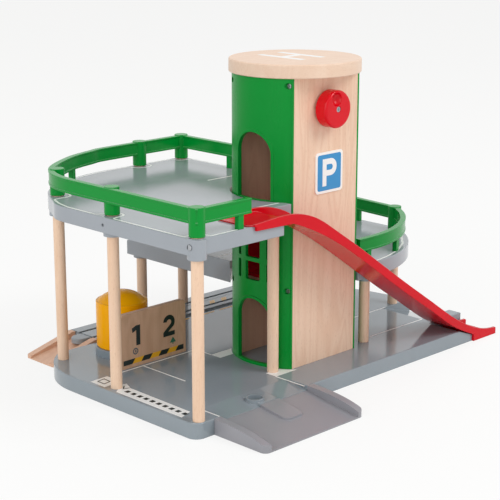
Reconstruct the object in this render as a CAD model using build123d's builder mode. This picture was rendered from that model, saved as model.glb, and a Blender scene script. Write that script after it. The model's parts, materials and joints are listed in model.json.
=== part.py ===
"""Toy parking garage with a lift: base, two raised floors, a round lift tower and a slide.

Frame: the origin lies on the floor under the middle of the lift tower, +X runs along the
garage towards the slide end, +Y runs to the far side, +Z is up. All sizes are in mm.
"""

from build123d import *

import math
import os

os.makedirs("parts", exist_ok=True)

# ----------------------------------------------------------------------------- base
BASE_H = 15.0
BASE_LEFT = -210.0
BASE_FRONT = -84.0
BASE_FAR = 210.0
BASE_RIGHT = 222.0
SLIDE_END_X = 188.0          # the base stops here under the slide
SLIDE_END_Y = -43.0          # edge of the short front corner
CORNER_R = 10.0
EDGE_R = 1.0
TRACK_X = -124.0             # where the base's track strip starts
TRACK_Y0 = 158.5
TRACK_W = 45.5
RAIL_UP = 2.0                # track rails stand this far above the base
GROOVE_W = 4.0
GROOVE_D = 3.5
GROOVE_GAP = 22.0            # middle to middle of the two wheel grooves
TRACK_MID_Y = 178.3          # middle line between the grooves
GUIDE_END_X = -141.0         # round end of the guide tongue
GUIDE_L = 36.0
RAIL_END_X = 127.0           # the raised track strip ends here, near the right edge
GROOVE_L = 340.0
PLATE_T = 3.0                # moulded top plate over the pockets
SOCKET_D = 10.0              # pillar socket depth

# front way in and way out at the right end
LANE_X0 = -180.0
LANE_X1 = -68.0
ISLAND_X = -118.5
ISLAND_R = 12.0
ISLAND_Z = 13.0              # height of the tongue between the lanes at the front edge
ISLAND_UP = 2.2              # height of its end above the ramp
ISLAND_END = -117.0
ISLAND_END_R = 6.0
DIP_Y = -57.0                # the base starts to fall here
DIP_Z = 10.8                 # height of the dip at the front edge
EXIT_X = 172.0
EXIT_HALF = 28.0
EXIT_LIP = 0.8
RAMP_X0 = -188.0
RAMP_X1 = -60.0
RAMP_Y = -147.5
RAMP_TIP = 1.0
CURB_TIP = 6.0
CUP_R = 8.6                  # cup for a barrier at the start of the island
CUP_HOLE_R = 6.8
CUP_XY = (-126.0, -72.5)
CUP_UP = 1.0
CUP_D = 5.0

# ----------------------------------------------------------------------------- pillars
PILLAR_R = 5.5
TENON_R = 4.0                # pillars are turned thinner inside the base
FIT = 0.1                    # radial gap of pillars, pegs and wall slots
BOSS_R = 8.6
BOSS_DROP = 4.5
PILLARS = {
    "pillar_front_left": (-200.5, -77.5),
    "pillar_left": (-198.4, 38.0),
    "pillar_back_left": (-183.2, 139.2),
    "pillar_back": (-31.0, 197.0),
    "pillar_back_mid": (28.5, 197.0),
    "pillar_tower": (-62.0, -32.5),
    "pillar_right_front": (70.6, -33.0),
    "pillar_right": (197.0, 33.4),
    "pillar_back_right": (150.0, 150.0),
}
TOP_ONLY = ("pillar_front_left", "pillar_left", "pillar_back_left")
BOTH = ("pillar_back", "pillar_back_mid")
MID_THROUGH = ("pillar_right",)
MID_STUB = ("pillar_right_front", "pillar_back_right")
SCREWED = ("pillar_front_left", "pillar_left")
PILLAR_TOP = 9.0             # pillars reach this far above a floor, up inside the caps

# ----------------------------------------------------------------------------- floors
TOP_Z = 166.0
TOP_T = 14.5
TOP_FAR = 203.5
TOP_RIGHT = 35.5
TOP_SLIDE_X = -101.0
TOP_INNER_Y = -44.0
TOP_TOWER_X = -50.0
MID_Z = 85.0
MID_T = 15.0
MID_LEFT = -44.7
MID_FAR = 204.5
MID_RIGHT = 207.0
MID_FRONT = -41.5
KERB_T = 4.0
KERB_H = 7.0
TOWER_GAP_R = 62.6           # floors stop at this radius round the tower

# ----------------------------------------------------------------------------- tower
SHELL_R = 61.5
SHELL_T = 3.5
WALL_HALF = 44.4
WALL_T = 8.0
WALL_FRONT = -41.5
WALL_BACK = 36.0
EDGE_STRIP = 2.1
WALL_IN_BASE = 3.0
ROOF_Z = 297.0
ROOF_T = 13.0
ROOF_R = 64.0
ARCH_Y = -3.5
ARCH_R = 20.5
ARCH_TALL = 64.0
ARCH_SILL = 3.0
RIM_W = 2.6
RIM_UP = 0.8
WINDOW_Z0 = 100.5
WINDOW_H = 50.0
WINDOW_BAR = 4.0
PANE_SIDE = 4.5
MULLION = 7.0
RIGHT_WINDOW_Z0 = 190.0
PEG_HALF = 30.0              # roof pegs stand this far from the middle
SCREW_ROWS = (93.4, 290.0)

# ----------------------------------------------------------------------------- lift
KNOB_Z = 265.4
KNOB_R = 18.0
KNOB_T = 14.2
DISH_R = 7.0                 # finger dish in the knob's face
DISH_OUT = 2.2
DISH_X = -2.6
DISH_Z = 9.8
KNOB_NECK_R = 9.0
KNOB_GAP = 0.5
SHAFT_R = 3.0
BUSH_R = 5.0
RUN_FIT = 0.06
DRUM_R = 12.0
DRUM_FLANGE_R = 15.0
DRUM_LEN = 30.0
CABIN_X = 43.0
CABIN_GAP = 1.0
CABIN_T = 3.0
CABIN_H = 60.0
CABIN_FLOOR = 100.0          # drawn at the middle floor
SHOE_T = 0.7

# ----------------------------------------------------------------------------- fences
CAP_R = 7.2
CAP_H = 25.7
CAP_LIFT = 1.0
CAP_EDGE_R = 0.5
RAIL_Z = 12.5                # rail underside above the floor
RAIL_H = 13.5
RAIL_T = 5.0
BEAD_H = 1.8                 # beads along both edges of a rail
BEAD_OUT = 0.4
POST_W = 6.5

# ----------------------------------------------------------------------------- slide
SLIDE_Y0 = -86.5
SLIDE_Y1 = -44.6
SLIDE_WALL = 2.3
SLIDE_FLOOR = 2.6
SLIDE_TOP = [(-140.0, 182.9), (-120.0, 184.3), (-103.0, 185.0), (-86.0, 183.7), (-61.0, 176.0),
             (-34.4, 160.0), (-2.4, 138.9), (18.3, 124.6), (80.9, 81.4), (119.0, 56.0),
             (158.9, 29.9), (179.4, 19.4), (200.2, 11.6), (226.0, 7.4)]
SLIDE_LOW = [(-100.0, 178.4), (-88.6, 174.6), (-60.8, 163.0), (-34.4, 148.9), (-2.4, 128.6),
             (18.3, 114.4), (80.9, 71.3), (119.0, 46.2), (158.9, 20.6), (170.0, 15.2), (188.3, 7.4)]
SLIDE_END = 227.2
TONGUE_X = -145.0
TONGUE_T = 1.4
APRON_Z = 176.6
APRON_X = -138.0

# ----------------------------------------------------------------------------- fittings
TANK_XY = (-127.0, 115.0)
TANK_R = 25.8
TANK_TOP = 70.0
TANK_DOME = 9.5
DOME_HALF = TANK_R - 1.8      # the dome stands back from the tank's wall by a small shoulder
DOME_R = (DOME_HALF**2 + TANK_DOME**2) / (2 * TANK_DOME)
PLINTH_R = 27.2
PLINTH_H = 8.0
BOARD_X0 = -165.0
BOARD_X1 = -81.5
BOARD_Y = 71.0
BOARD_T = 5.0
BOARD_TOP = 70.0
BOARD_PEG_IN = 15.0          # pegs stand this far in from the board's ends
PEG_R = 1.5
PEG_L = 12.0
SIGN_W = 38.0
SIGN_H = 40.0
SIGN_X = 4.0
SIGN_Z = 203.2
SIGN_T = 1.2
SIGN_CORNER_R = 3.4
SCREW_R = 1.5
SCREW_HEAD_R = 2.6
SCREW_L = 14.0

TOP_SURFACE = TOP_Z + TOP_T
MID_SURFACE = MID_Z + MID_T


def save(part, name):
    """Label a sub-part and write its STEP file."""
    part.label = name
    export_step(part, f"parts/{name}.step")


def circle_x(radius, y):
    """X of a tower circle at a given Y."""
    return math.sqrt(radius * radius - y * y)


# ============================================================================= base board
def base_outline():
    """Outline of the base board."""
    with BuildLine() as line:
        Polyline((BASE_LEFT, 92), (BASE_LEFT, BASE_FRONT), (SLIDE_END_X, BASE_FRONT),
                 (SLIDE_END_X, SLIDE_END_Y), (BASE_RIGHT, SLIDE_END_Y), (BASE_RIGHT, 20))
        EllipticalCenterArc((100, 20), BASE_RIGHT - 100, BASE_FAR - 20, 0, arc_size=90)
        Polyline((100, BASE_FAR), (TRACK_X, BASE_FAR), (TRACK_X, TRACK_Y0 - 1.0),
                 (-176.0, TRACK_Y0 - 1.0))
        ThreePointArc((-176.0, TRACK_Y0 - 1.0), (-199.5, 133.0), (BASE_LEFT, 92))
    return line.edges()


BASE_POCKETS = [
    (-186, -150, -46, -14), (-147, -109, -46, -14), (-106, -76, -46, -14),
    (-186, -150, -11, 24), (-147, -109, -11, 24), (-106, -76, -11, 24),
    (-186, -150, 27, 62), (-147, -109, 27, 62), (-106, -76, 27, 62),
    (-96, -68, 84, 118), (-96, -68, 121, 150), (-65, -52, 84, 150),
    (-49, -12, 70, 108), (-9, 28, 70, 108), (31, 68, 70, 108),
    (-49, -12, 111, 150), (-9, 28, 111, 150), (31, 68, 111, 150),
    (71, 104, 34, 70), (107, 140, 34, 70), (143, 176, 34, 70),
    (71, 104, 73, 108), (107, 140, 73, 108), (143, 176, 73, 108),
    (71, 104, 111, 150), (107, 138, 111, 138),
    (86, 120, -22, 22), (123, 158, -22, 22),
    (-46, -5, -80, -52), (-2, 38, -80, -52), (41, 80, -80, -52), (83, 122, -80, -52),
    (125, 160, -80, -52),
]

BASE_OUTLINE = base_outline()
LANES = ((LANE_X0, ISLAND_X - ISLAND_R), (ISLAND_X + ISLAND_R, LANE_X1))
BOARD_PEGS = [(x, BOARD_Y + BOARD_T / 2) for x in (BOARD_X0 + BOARD_PEG_IN, BOARD_X1 - BOARD_PEG_IN)]

with BuildPart() as base_board:
    with BuildSketch():
        make_face(BASE_OUTLINE)
    extrude(amount=BASE_H)
    near_corner = base_board.edges().filter_by(Axis.Z).sort_by_distance((BASE_LEFT, BASE_FRONT, 7))
    fillet(near_corner[0], CORNER_R)
    fillet(base_board.faces().sort_by(Axis.Z)[-1].outer_wire().edges(), EDGE_R)
    # two lanes dip towards the front ramp
    for x0, x1, low in ((*LANES[0], DIP_Z), (*LANES[1], DIP_Z), (LANES[0][1], LANES[1][0], ISLAND_Z)):
        with BuildSketch(Plane.YZ.offset(x0)):
            Polygon((DIP_Y, BASE_H), (DIP_Y, BASE_H + 5), (BASE_FRONT - 1, BASE_H + 5),
                    (BASE_FRONT - 1, low), align=None)
        extrude(amount=x1 - x0, mode=Mode.SUBTRACT)
    # the right end falls to the floor
    with BuildSketch(Plane.XZ.offset(EXIT_HALF)):
        Polygon((EXIT_X, BASE_H), (EXIT_X, BASE_H + 5), (BASE_RIGHT + 1, BASE_H + 5),
                (BASE_RIGHT + 1, EXIT_LIP), align=None)
    extrude(amount=-2 * EXIT_HALF, mode=Mode.SUBTRACT)
    # the slide lies on this slope
    with BuildSketch(Plane.XZ.offset(-SLIDE_END_Y)):
        Polygon((166, BASE_H), (166, BASE_H + 5), (SLIDE_END_X + 1, BASE_H + 5),
                (SLIDE_END_X + 1, 6.4), align=None)
    extrude(amount=50, mode=Mode.SUBTRACT)
    # track rails and wheel grooves
    with BuildSketch(Plane.XY.offset(BASE_H)):
        with Locations((TRACK_X + EDGE_R, TRACK_Y0)):
            Rectangle(RAIL_END_X - TRACK_X - EDGE_R, TRACK_W, align=(Align.MIN, Align.MIN))
    extrude(amount=RAIL_UP)
    with BuildSketch(Plane.XY.offset(BASE_H + RAIL_UP)):
        for side in (-1, 1):
            with Locations((TRACK_X - 1, TRACK_MID_Y + side * GROOVE_GAP / 2)):
                Rectangle(GROOVE_L, GROOVE_W, align=(Align.MIN, Align.CENTER))
    extrude(amount=-RAIL_UP - GROOVE_D, mode=Mode.SUBTRACT)
    # cup for a barrier at the start of the island
    with BuildSketch(Plane.XY.offset(DIP_Z)):
        with Locations(CUP_XY):
            Circle(CUP_R)
    extrude(amount=BASE_H - DIP_Z + CUP_UP)
    with BuildSketch(Plane.XY.offset(BASE_H + CUP_UP)):
        with Locations(CUP_XY):
            Circle(CUP_HOLE_R)
    extrude(amount=-CUP_D, mode=Mode.SUBTRACT)
    # pillar sockets
    with BuildSketch(Plane.XY.offset(BASE_H + RAIL_UP)):
        with Locations(*PILLARS.values()):
            Circle(PILLAR_R + FIT)
    extrude(amount=-RAIL_UP, mode=Mode.SUBTRACT)
    with BuildSketch(Plane.XY.offset(BASE_H)):
        with Locations(*PILLARS.values()):
            Circle(TENON_R + FIT)
    extrude(amount=-SOCKET_D, mode=Mode.SUBTRACT)
    # slots for the two tower walls
    with BuildSketch(Plane.XY.offset(BASE_H)):
        with Locations((0, WALL_FRONT + WALL_T / 2), (0, WALL_BACK - WALL_T / 2)):
            Rectangle(2 * (WALL_HALF + FIT), WALL_T + 2 * FIT)
    extrude(amount=-WALL_IN_BASE, mode=Mode.SUBTRACT)
    # moulded underside
    with BuildSketch():
        for x0, x1, y0, y1 in BASE_POCKETS:
            with Locations(((x0 + x1) / 2, (y0 + y1) / 2)):
                RectangleRounded(x1 - x0, y1 - y0, 2.5)
    extrude(amount=BASE_H - PLATE_T - 1.0, mode=Mode.SUBTRACT)
    # peg holes of the number board
    with BuildSketch(Plane.XY.offset(BASE_H)):
        with Locations(*BOARD_PEGS):
            Circle(PEG_R + FIT)
    extrude(amount=-PEG_L / 2, mode=Mode.SUBTRACT)

save(base_board.part, "base_board")

# ============================================================================= front ramp
def lane_z(y):
    """Height of the ramp's lanes at a distance from the tower."""
    return RAMP_TIP + (DIP_Z - RAMP_TIP) * (y - RAMP_Y + 1) / (BASE_FRONT - RAMP_Y + 2)


with BuildPart() as front_ramp:
    with BuildSketch(Plane.YZ.offset(RAMP_X0)):
        with BuildLine():
            Polyline((BASE_FRONT - FIT, 0), (RAMP_Y, 0), (RAMP_Y, CURB_TIP))
            Spline((RAMP_Y, CURB_TIP), (RAMP_Y + 18, 11.0), (BASE_FRONT - 18, 14.3),
                   (BASE_FRONT - FIT, BASE_H))
            Line((BASE_FRONT - FIT, BASE_H), (BASE_FRONT - FIT, 0))
        make_face()
    extrude(amount=RAMP_X1 - RAMP_X0)
    for lane in LANES:
        with BuildSketch(Plane.YZ.offset(lane[0])):
            Polygon((BASE_FRONT + 1, DIP_Z), (BASE_FRONT + 1, BASE_H + 5), (RAMP_Y - 1, BASE_H + 5),
                    (RAMP_Y - 1, RAMP_TIP), align=None)
        extrude(amount=lane[1] - lane[0], mode=Mode.SUBTRACT)
    # the tongue between the lanes stays a step above them and ends round
    with BuildSketch(Plane.YZ.offset(LANES[0][1])):
        Polygon((BASE_FRONT + 1, ISLAND_Z), (BASE_FRONT + 1, BASE_H + 5), (RAMP_Y - 1, BASE_H + 5),
                (RAMP_Y - 1, RAMP_TIP), (ISLAND_END, lane_z(ISLAND_END)),
                (ISLAND_END, lane_z(ISLAND_END) + ISLAND_UP), align=None)
    extrude(amount=LANES[1][0] - LANES[0][1], mode=Mode.SUBTRACT)
    corners = front_ramp.edges().filter_by(Axis.Z)
    fillet(corners.filter_by_position(Axis.Y, ISLAND_END - FIT, ISLAND_END + FIT), ISLAND_END_R)
    tips = front_ramp.edges().filter_by(Axis.Z).group_by(Axis.Y)[0].sort_by(Axis.X)
    fillet([tips[0], tips[-1]], 6.0)
    # hooks under the ramp sit against the base
    with BuildSketch():
        for x in (-155.0, -93.0):
            with Locations((x, BASE_FRONT - 16)):
                RectangleRounded(34, 22, 3)
    extrude(amount=5.0, mode=Mode.SUBTRACT)

save(front_ramp.part, "front_ramp")

# ============================================================================= track ramp
TRACK_RAMP_X0 = -181.5
TRACK_RAMP_X1 = TRACK_X - FIT

with BuildPart() as track_ramp:
    with BuildSketch(Plane.XZ.offset(-TRACK_Y0 - TRACK_W)):
        Polygon((TRACK_RAMP_X0, 0), (TRACK_RAMP_X1, 0), (TRACK_RAMP_X1, BASE_H + RAIL_UP),
                (TRACK_RAMP_X1 - 4, BASE_H + RAIL_UP), (TRACK_RAMP_X0, 3.2), align=None)
    extrude(amount=TRACK_W)
    with BuildSketch(Plane.XZ.offset(-TRACK_Y0 - TRACK_W + 8.0)):
        Polygon((TRACK_RAMP_X0 - 1, 0.9), (TRACK_RAMP_X1 + 1, BASE_H - GROOVE_D),
                (TRACK_RAMP_X1 + 1, BASE_H + 6), (TRACK_RAMP_X0 - 1, 9), align=None)
    extrude(amount=TRACK_W - 16.0, mode=Mode.SUBTRACT)
    rims = track_ramp.edges().filter_by(Axis.Z).group_by(Axis.X)[0].sort_by(Axis.Y)
    fillet([rims[0], rims[-1]], 3.0)

save(track_ramp.part, "track_ramp")

with BuildPart() as track_guide:
    with BuildSketch(Plane.XY.offset(BASE_H - GROOVE_D + 0.2)):
        with Locations((GUIDE_END_X + GUIDE_L / 2, TRACK_MID_Y)):
            SlotOverall(GUIDE_L, GROOVE_GAP - GROOVE_W - 2 * FIT)
        with Locations((TRACK_X - FIT, TRACK_MID_Y)):
            Rectangle(GUIDE_L, TRACK_W, align=(Align.MIN, Align.CENTER), mode=Mode.SUBTRACT)
    extrude(amount=GROOVE_D + RAIL_UP - 0.2)
    top_edges = track_guide.faces().sort_by(Axis.Z)[-1].outer_wire().edges()
    fillet(top_edges, 1.2)

save(track_guide.part, "track_guide")

# ============================================================================= tower walls
def wall(y0):
    """One wooden tower wall with its shaft hole and roof peg holes."""
    with BuildPart() as panel:
        with BuildSketch(Plane.XY.offset(BASE_H - WALL_IN_BASE)):
            with Locations((0, y0 + WALL_T / 2)):
                Rectangle(2 * WALL_HALF, WALL_T)
        extrude(amount=ROOF_Z - BASE_H + WALL_IN_BASE)
        with BuildSketch(Plane.XZ.offset(-y0 - WALL_T)):
            with Locations((0, KNOB_Z)):
                Circle(BUSH_R + FIT / 2)
        extrude(amount=WALL_T, mode=Mode.SUBTRACT)
        with BuildSketch(Plane.XY.offset(ROOF_Z)):
            with Locations((-PEG_HALF, y0 + WALL_T / 2), (PEG_HALF, y0 + WALL_T / 2)):
                Circle(PEG_R + FIT)
        extrude(amount=-PEG_L / 2, mode=Mode.SUBTRACT)
        for x, turn in ((-WALL_HALF, 90), (WALL_HALF, -90)):
            for z in SCREW_ROWS:
                with Locations(Location((x, y0 + WALL_T / 2, z), (0, turn, 0))):
                    Cylinder(SCREW_R, 2 * (SCREW_L - 3), mode=Mode.SUBTRACT)
    return panel.part


front_wall = wall(WALL_FRONT)
save(front_wall, "front_wall")
back_wall = wall(WALL_BACK - WALL_T)
save(back_wall, "back_wall")


# ============================================================================= tower shells
def arch(z0, half, tall):
    """Arch outline on the YZ plane: straight jambs with a half-round head."""
    with BuildSketch(Plane.YZ) as head:
        with Locations((ARCH_Y, z0)):
            Rectangle(2 * half, tall - half, align=(Align.CENTER, Align.MIN))
        with Locations((ARCH_Y, z0 + tall - half)):
            Circle(half)
    return head.sketch


def arch_rim(side, z0):
    """Raised rim that follows one arch on the outside of a shell."""
    with BuildPart() as rim:
        with BuildSketch(Plane.XY.offset(BASE_H)):
            Circle(SHELL_R + RIM_UP)
            Circle(SHELL_R - 1.0, mode=Mode.SUBTRACT)
            with Locations((side * SHELL_R, 0)):
                Rectangle(SHELL_R, 2 * SHELL_R, mode=Mode.INTERSECT)
        extrude(amount=ROOF_Z - BASE_H)
        outer = extrude(arch(z0, ARCH_R + RIM_W, ARCH_TALL + RIM_W), amount=side * 80,
                        mode=Mode.PRIVATE)
        inner = extrude(arch(z0 - 1, ARCH_R, ARCH_TALL + 1), amount=side * 80, mode=Mode.PRIVATE)
        add(outer, mode=Mode.INTERSECT)
        add(inner, mode=Mode.SUBTRACT)
    return rim.part


def shell(side, arches, window):
    """Half-round plastic shell with arches at the floors it serves and one barred window."""
    rims = [arch_rim(side, z0) for z0 in arches]
    with BuildPart() as body:
        with BuildSketch(Plane.XY.offset(BASE_H)):
            Circle(SHELL_R)
            Circle(SHELL_R - SHELL_T, mode=Mode.SUBTRACT)
            with Locations((side * SHELL_R, (WALL_FRONT + WALL_BACK) / 2)):
                Rectangle(SHELL_R, WALL_BACK - WALL_FRONT, mode=Mode.INTERSECT)
            for y0 in (WALL_FRONT, WALL_BACK - WALL_T):
                with Locations((side * (WALL_HALF + FIT + EDGE_STRIP / 2), y0 + WALL_T / 2)):
                    Rectangle(EDGE_STRIP, WALL_T)
                with Locations((0, y0 + WALL_T / 2)):
                    Rectangle(2 * (WALL_HALF + FIT), WALL_T + 2 * FIT, mode=Mode.SUBTRACT)
        extrude(amount=ROOF_Z - BASE_H)
        for rim in rims:
            add(rim)
        for z0 in arches:
            extrude(arch(z0, ARCH_R, ARCH_TALL), amount=side * 80, mode=Mode.SUBTRACT)
        pane_mid = 2 * ARCH_R - 2 * (PANE_SIDE + MULLION)
        pane_off = pane_mid / 2 + MULLION + PANE_SIDE / 2
        low = (WINDOW_H - WINDOW_BAR) * 0.4
        rows = ((window, low), (window + low + WINDOW_BAR, WINDOW_H - WINDOW_BAR - low))
        with BuildSketch(Plane.YZ):
            for z0, tall in rows:
                for y, wide in ((0, pane_mid), (-pane_off, PANE_SIDE), (pane_off, PANE_SIDE)):
                    with Locations((ARCH_Y + y, z0 + tall / 2)):
                        RectangleRounded(wide, tall, 1.5)
        extrude(amount=side * 80, mode=Mode.SUBTRACT)
        for y in (WALL_FRONT + WALL_T / 2, WALL_BACK - WALL_T / 2):
            for z in SCREW_ROWS:
                with Locations(Location((side * 50, y, z), (0, 90, 0))):
                    Cylinder(SCREW_R + FIT, 20, mode=Mode.SUBTRACT)
                with Locations(Location((side * (SCREW_SEAT + 10), y, z), (0, 90, 0))):
                    Cylinder(SCREW_HEAD_R + 2 * FIT, 20, mode=Mode.SUBTRACT)
    return body.part


SCREW_SEAT = WALL_HALF + FIT + 1.3
GROUND_ARCH = BASE_H + ARCH_SILL
TOP_ARCH = TOP_SURFACE + 0.5
MID_ARCH = MID_SURFACE + 0.5

left_shell = shell(-1, (GROUND_ARCH, TOP_ARCH), WINDOW_Z0)
save(left_shell, "left_shell")
right_shell = shell(1, (GROUND_ARCH, MID_ARCH), RIGHT_WINDOW_Z0)
save(right_shell, "right_shell")

# ============================================================================= roof
WALL_MIDS = (WALL_FRONT + WALL_T / 2, WALL_BACK - WALL_T / 2)

with BuildPart() as roof_disc:
    with BuildSketch(Plane.XY.offset(ROOF_Z)):
        Circle(ROOF_R)
    extrude(amount=ROOF_T)
    fillet(roof_disc.edges().filter_by(GeomType.CIRCLE).sort_by(Axis.Z)[-1], 1.6)
    chamfer(roof_disc.edges().filter_by(GeomType.CIRCLE).sort_by(Axis.Z)[0], 0.6)
    with BuildSketch(Plane.XY.offset(ROOF_Z)):
        with Locations(*[(x, y) for x in (-PEG_HALF, PEG_HALF) for y in WALL_MIDS]):
            Circle(PEG_R + FIT)
    extrude(amount=PEG_L / 2 + 0.2, mode=Mode.SUBTRACT)

save(roof_disc.part, "roof_disc")

with BuildPart() as roof_pegs:
    with BuildSketch(Plane.XY.offset(ROOF_Z - PEG_L / 2)):
        with Locations(*[(x, y) for x in (-PEG_HALF, PEG_HALF) for y in WALL_MIDS]):
            Circle(PEG_R)
    extrude(amount=PEG_L)

save(roof_pegs.part, "roof_pegs")

# ============================================================================= knob and shaft
KNOB_BACK = WALL_FRONT - KNOB_GAP
KNOB_FRONT = KNOB_BACK - 1.0 - KNOB_T
HUB_DEPTH = 9.0
SHAFT_FRONT = KNOB_BACK - 1.0 - HUB_DEPTH
SHAFT_BACK = WALL_BACK - 1.0

with BuildPart() as knob:
    with BuildSketch(Plane.XZ.offset(-KNOB_BACK)):
        with Locations((0, KNOB_Z)):
            Circle(KNOB_NECK_R)
    extrude(amount=1.0 + KNOB_T / 2)
    with BuildSketch(Plane.XZ.offset(-KNOB_BACK + 1.0)):
        with Locations((0, KNOB_Z)):
            Circle(KNOB_R)
    extrude(amount=KNOB_T)
    fillet(knob.edges().filter_by(GeomType.CIRCLE).group_by(Axis.Y)[0], 2.6)
    rim_edges = knob.edges().filter_by(lambda e: e.geom_type == GeomType.CIRCLE
                                       and abs(e.radius - KNOB_R) < 0.01)
    fillet(rim_edges.sort_by(Axis.Y)[-1], 2.0)
    with Locations((DISH_X, KNOB_FRONT - DISH_OUT, KNOB_Z + DISH_Z)):
        Sphere(DISH_R, mode=Mode.SUBTRACT)
    with BuildSketch(Plane.XZ.offset(-KNOB_BACK)):
        with Locations((0, KNOB_Z)):
            Circle(SHAFT_R + 0.02)
    extrude(amount=1.0 + HUB_DEPTH, mode=Mode.SUBTRACT)
    with BuildSketch(Plane.XZ.offset(-KNOB_FRONT)):
        with Locations((0, KNOB_Z)):
            Circle(SCREW_HEAD_R + 0.3)
    extrude(amount=-2.2, mode=Mode.SUBTRACT)
    with BuildSketch(Plane.XZ.offset(-KNOB_FRONT)):
        with Locations((0, KNOB_Z)):
            Circle(SCREW_R + FIT)
    extrude(amount=-KNOB_T, mode=Mode.SUBTRACT)

save(knob.part, "knob")

with BuildPart() as knob_shaft:
    with BuildSketch(Plane.XZ.offset(-SHAFT_BACK)):
        with Locations((0, KNOB_Z)):
            Circle(SHAFT_R)
    extrude(amount=SHAFT_BACK - SHAFT_FRONT)
    with BuildSketch(Plane.XZ.offset(-SHAFT_FRONT)):
        with Locations((0, KNOB_Z)):
            Circle(SCREW_R)
    extrude(amount=-8.0, mode=Mode.SUBTRACT)

save(knob_shaft.part, "knob_shaft")

with BuildPart() as knob_screw:
    with BuildSketch(Plane.XZ.offset(-KNOB_FRONT - 2.2)):
        with Locations((0, KNOB_Z)):
            Circle(SCREW_HEAD_R)
    extrude(amount=1.8)
    with BuildSketch(Plane.XZ.offset(-KNOB_FRONT - 2.2)):
        with Locations((0, KNOB_Z)):
            Circle(SCREW_R)
    extrude(amount=-9.0)
    with BuildSketch(Plane.XZ.offset(-KNOB_FRONT - 0.4)):
        with Locations((0, KNOB_Z)):
            Rectangle(3.4, 0.7)
            Rectangle(0.7, 3.4)
    extrude(amount=-1.0, mode=Mode.SUBTRACT)

save(knob_screw.part, "knob_screw")

with BuildPart() as shaft_bushes:
    for y0 in (WALL_FRONT, WALL_BACK - WALL_T):
        with BuildSketch(Plane.XZ.offset(-y0 - WALL_T)):
            with Locations((0, KNOB_Z)):
                Circle(BUSH_R)
                Circle(SHAFT_R + RUN_FIT, mode=Mode.SUBTRACT)
        extrude(amount=WALL_T - 0.1)

save(shaft_bushes.part, "shaft_bushes")

DRUM_Y = (WALL_FRONT + WALL_BACK) / 2

with BuildPart() as winding_drum:
    with BuildSketch(Plane.XZ.offset(-DRUM_Y - DRUM_LEN / 2)):
        with Locations((0, KNOB_Z)):
            Circle(DRUM_R)
    extrude(amount=DRUM_LEN)
    for y in (DRUM_Y - DRUM_LEN / 2, DRUM_Y + DRUM_LEN / 2 - 2.0):
        with BuildSketch(Plane.XZ.offset(-y - 2.0)):
            with Locations((0, KNOB_Z)):
                Circle(DRUM_FLANGE_R)
        extrude(amount=2.0)
    with BuildSketch(Plane.XZ.offset(-DRUM_Y - DRUM_LEN / 2)):
        with Locations((0, KNOB_Z)):
            Circle(SHAFT_R + 0.02)
    extrude(amount=DRUM_LEN, mode=Mode.SUBTRACT)

save(winding_drum.part, "winding_drum")

# ============================================================================= lift cabin
CABIN_Y0 = WALL_FRONT + WALL_T + CABIN_GAP
CABIN_Y1 = WALL_BACK - WALL_T - CABIN_GAP
CABIN_W = CABIN_Y1 - CABIN_Y0
CABIN_BOTTOM = CABIN_FLOOR - CABIN_T

with BuildPart() as lift_cabin:
    with BuildSketch(Plane.XY.offset(CABIN_BOTTOM)):
        with Locations((0, CABIN_Y0 + CABIN_W / 2)):
            RectangleRounded(2 * CABIN_X, CABIN_W, 3.0)
    extrude(amount=CABIN_H)
    with BuildSketch(Plane.YZ.offset(-CABIN_X - 1)):
        with Locations((CABIN_Y0 + CABIN_W / 2, CABIN_FLOOR + (CABIN_H - 2 * CABIN_T) / 2)):
            RectangleRounded(CABIN_W - 2 * CABIN_T, CABIN_H - 2 * CABIN_T, 4.0)
    extrude(amount=2 * CABIN_X + 2, mode=Mode.SUBTRACT)
    # the hanger on the roof of the cabin
    with BuildSketch(Plane.XY.offset(CABIN_BOTTOM + CABIN_H)):
        with Locations((0, DRUM_Y)):
            RectangleRounded(14.0, 6.0, 2.0)
    extrude(amount=4.0)
    with BuildSketch(Plane.XZ.offset(-DRUM_Y - 4.0)):
        with Locations((0, CABIN_BOTTOM + CABIN_H + 2.0)):
            Circle(0.8)
    extrude(amount=8.0, mode=Mode.SUBTRACT)

save(lift_cabin.part, "lift_cabin")

with BuildPart() as cabin_shoes:
    for x in (-30.0, 30.0):
        for z in (CABIN_BOTTOM + 8.0, CABIN_BOTTOM + CABIN_H - 8.0):
            with Locations((x, CABIN_Y0 - SHOE_T / 2, z), (x, CABIN_Y1 + SHOE_T / 2, z)):
                Box(8.0, SHOE_T, 6.0)

save(cabin_shoes.part, "cabin_shoes")


# ============================================================================= floors
def top_outline():
    """Outline of the top floor."""
    tower_y = -circle_x(TOWER_GAP_R, TOP_TOWER_X)
    back_y = circle_x(TOWER_GAP_R, TOP_RIGHT)
    with BuildLine() as line:
        Polyline((BASE_LEFT, 92), (BASE_LEFT, BASE_FRONT), (TOP_SLIDE_X, BASE_FRONT),
                 (TOP_SLIDE_X, TOP_INNER_Y), (TOP_TOWER_X, TOP_INNER_Y), (TOP_TOWER_X, tower_y))
        ThreePointArc((TOP_TOWER_X, tower_y), (-TOWER_GAP_R * 0.8, TOWER_GAP_R * 0.6),
                      (TOP_RIGHT, back_y))
        Polyline((TOP_RIGHT, back_y), (TOP_RIGHT, TOP_FAR), (-70, TOP_FAR))
        Spline((-70, TOP_FAR), (-122, 195.5), (-158, 179.5), (-186.2, 150.8), (-202.2, 121.8),
               (BASE_LEFT, 92), tangents=((-1, 0), (0, -1)))
    return line.edges()


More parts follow.
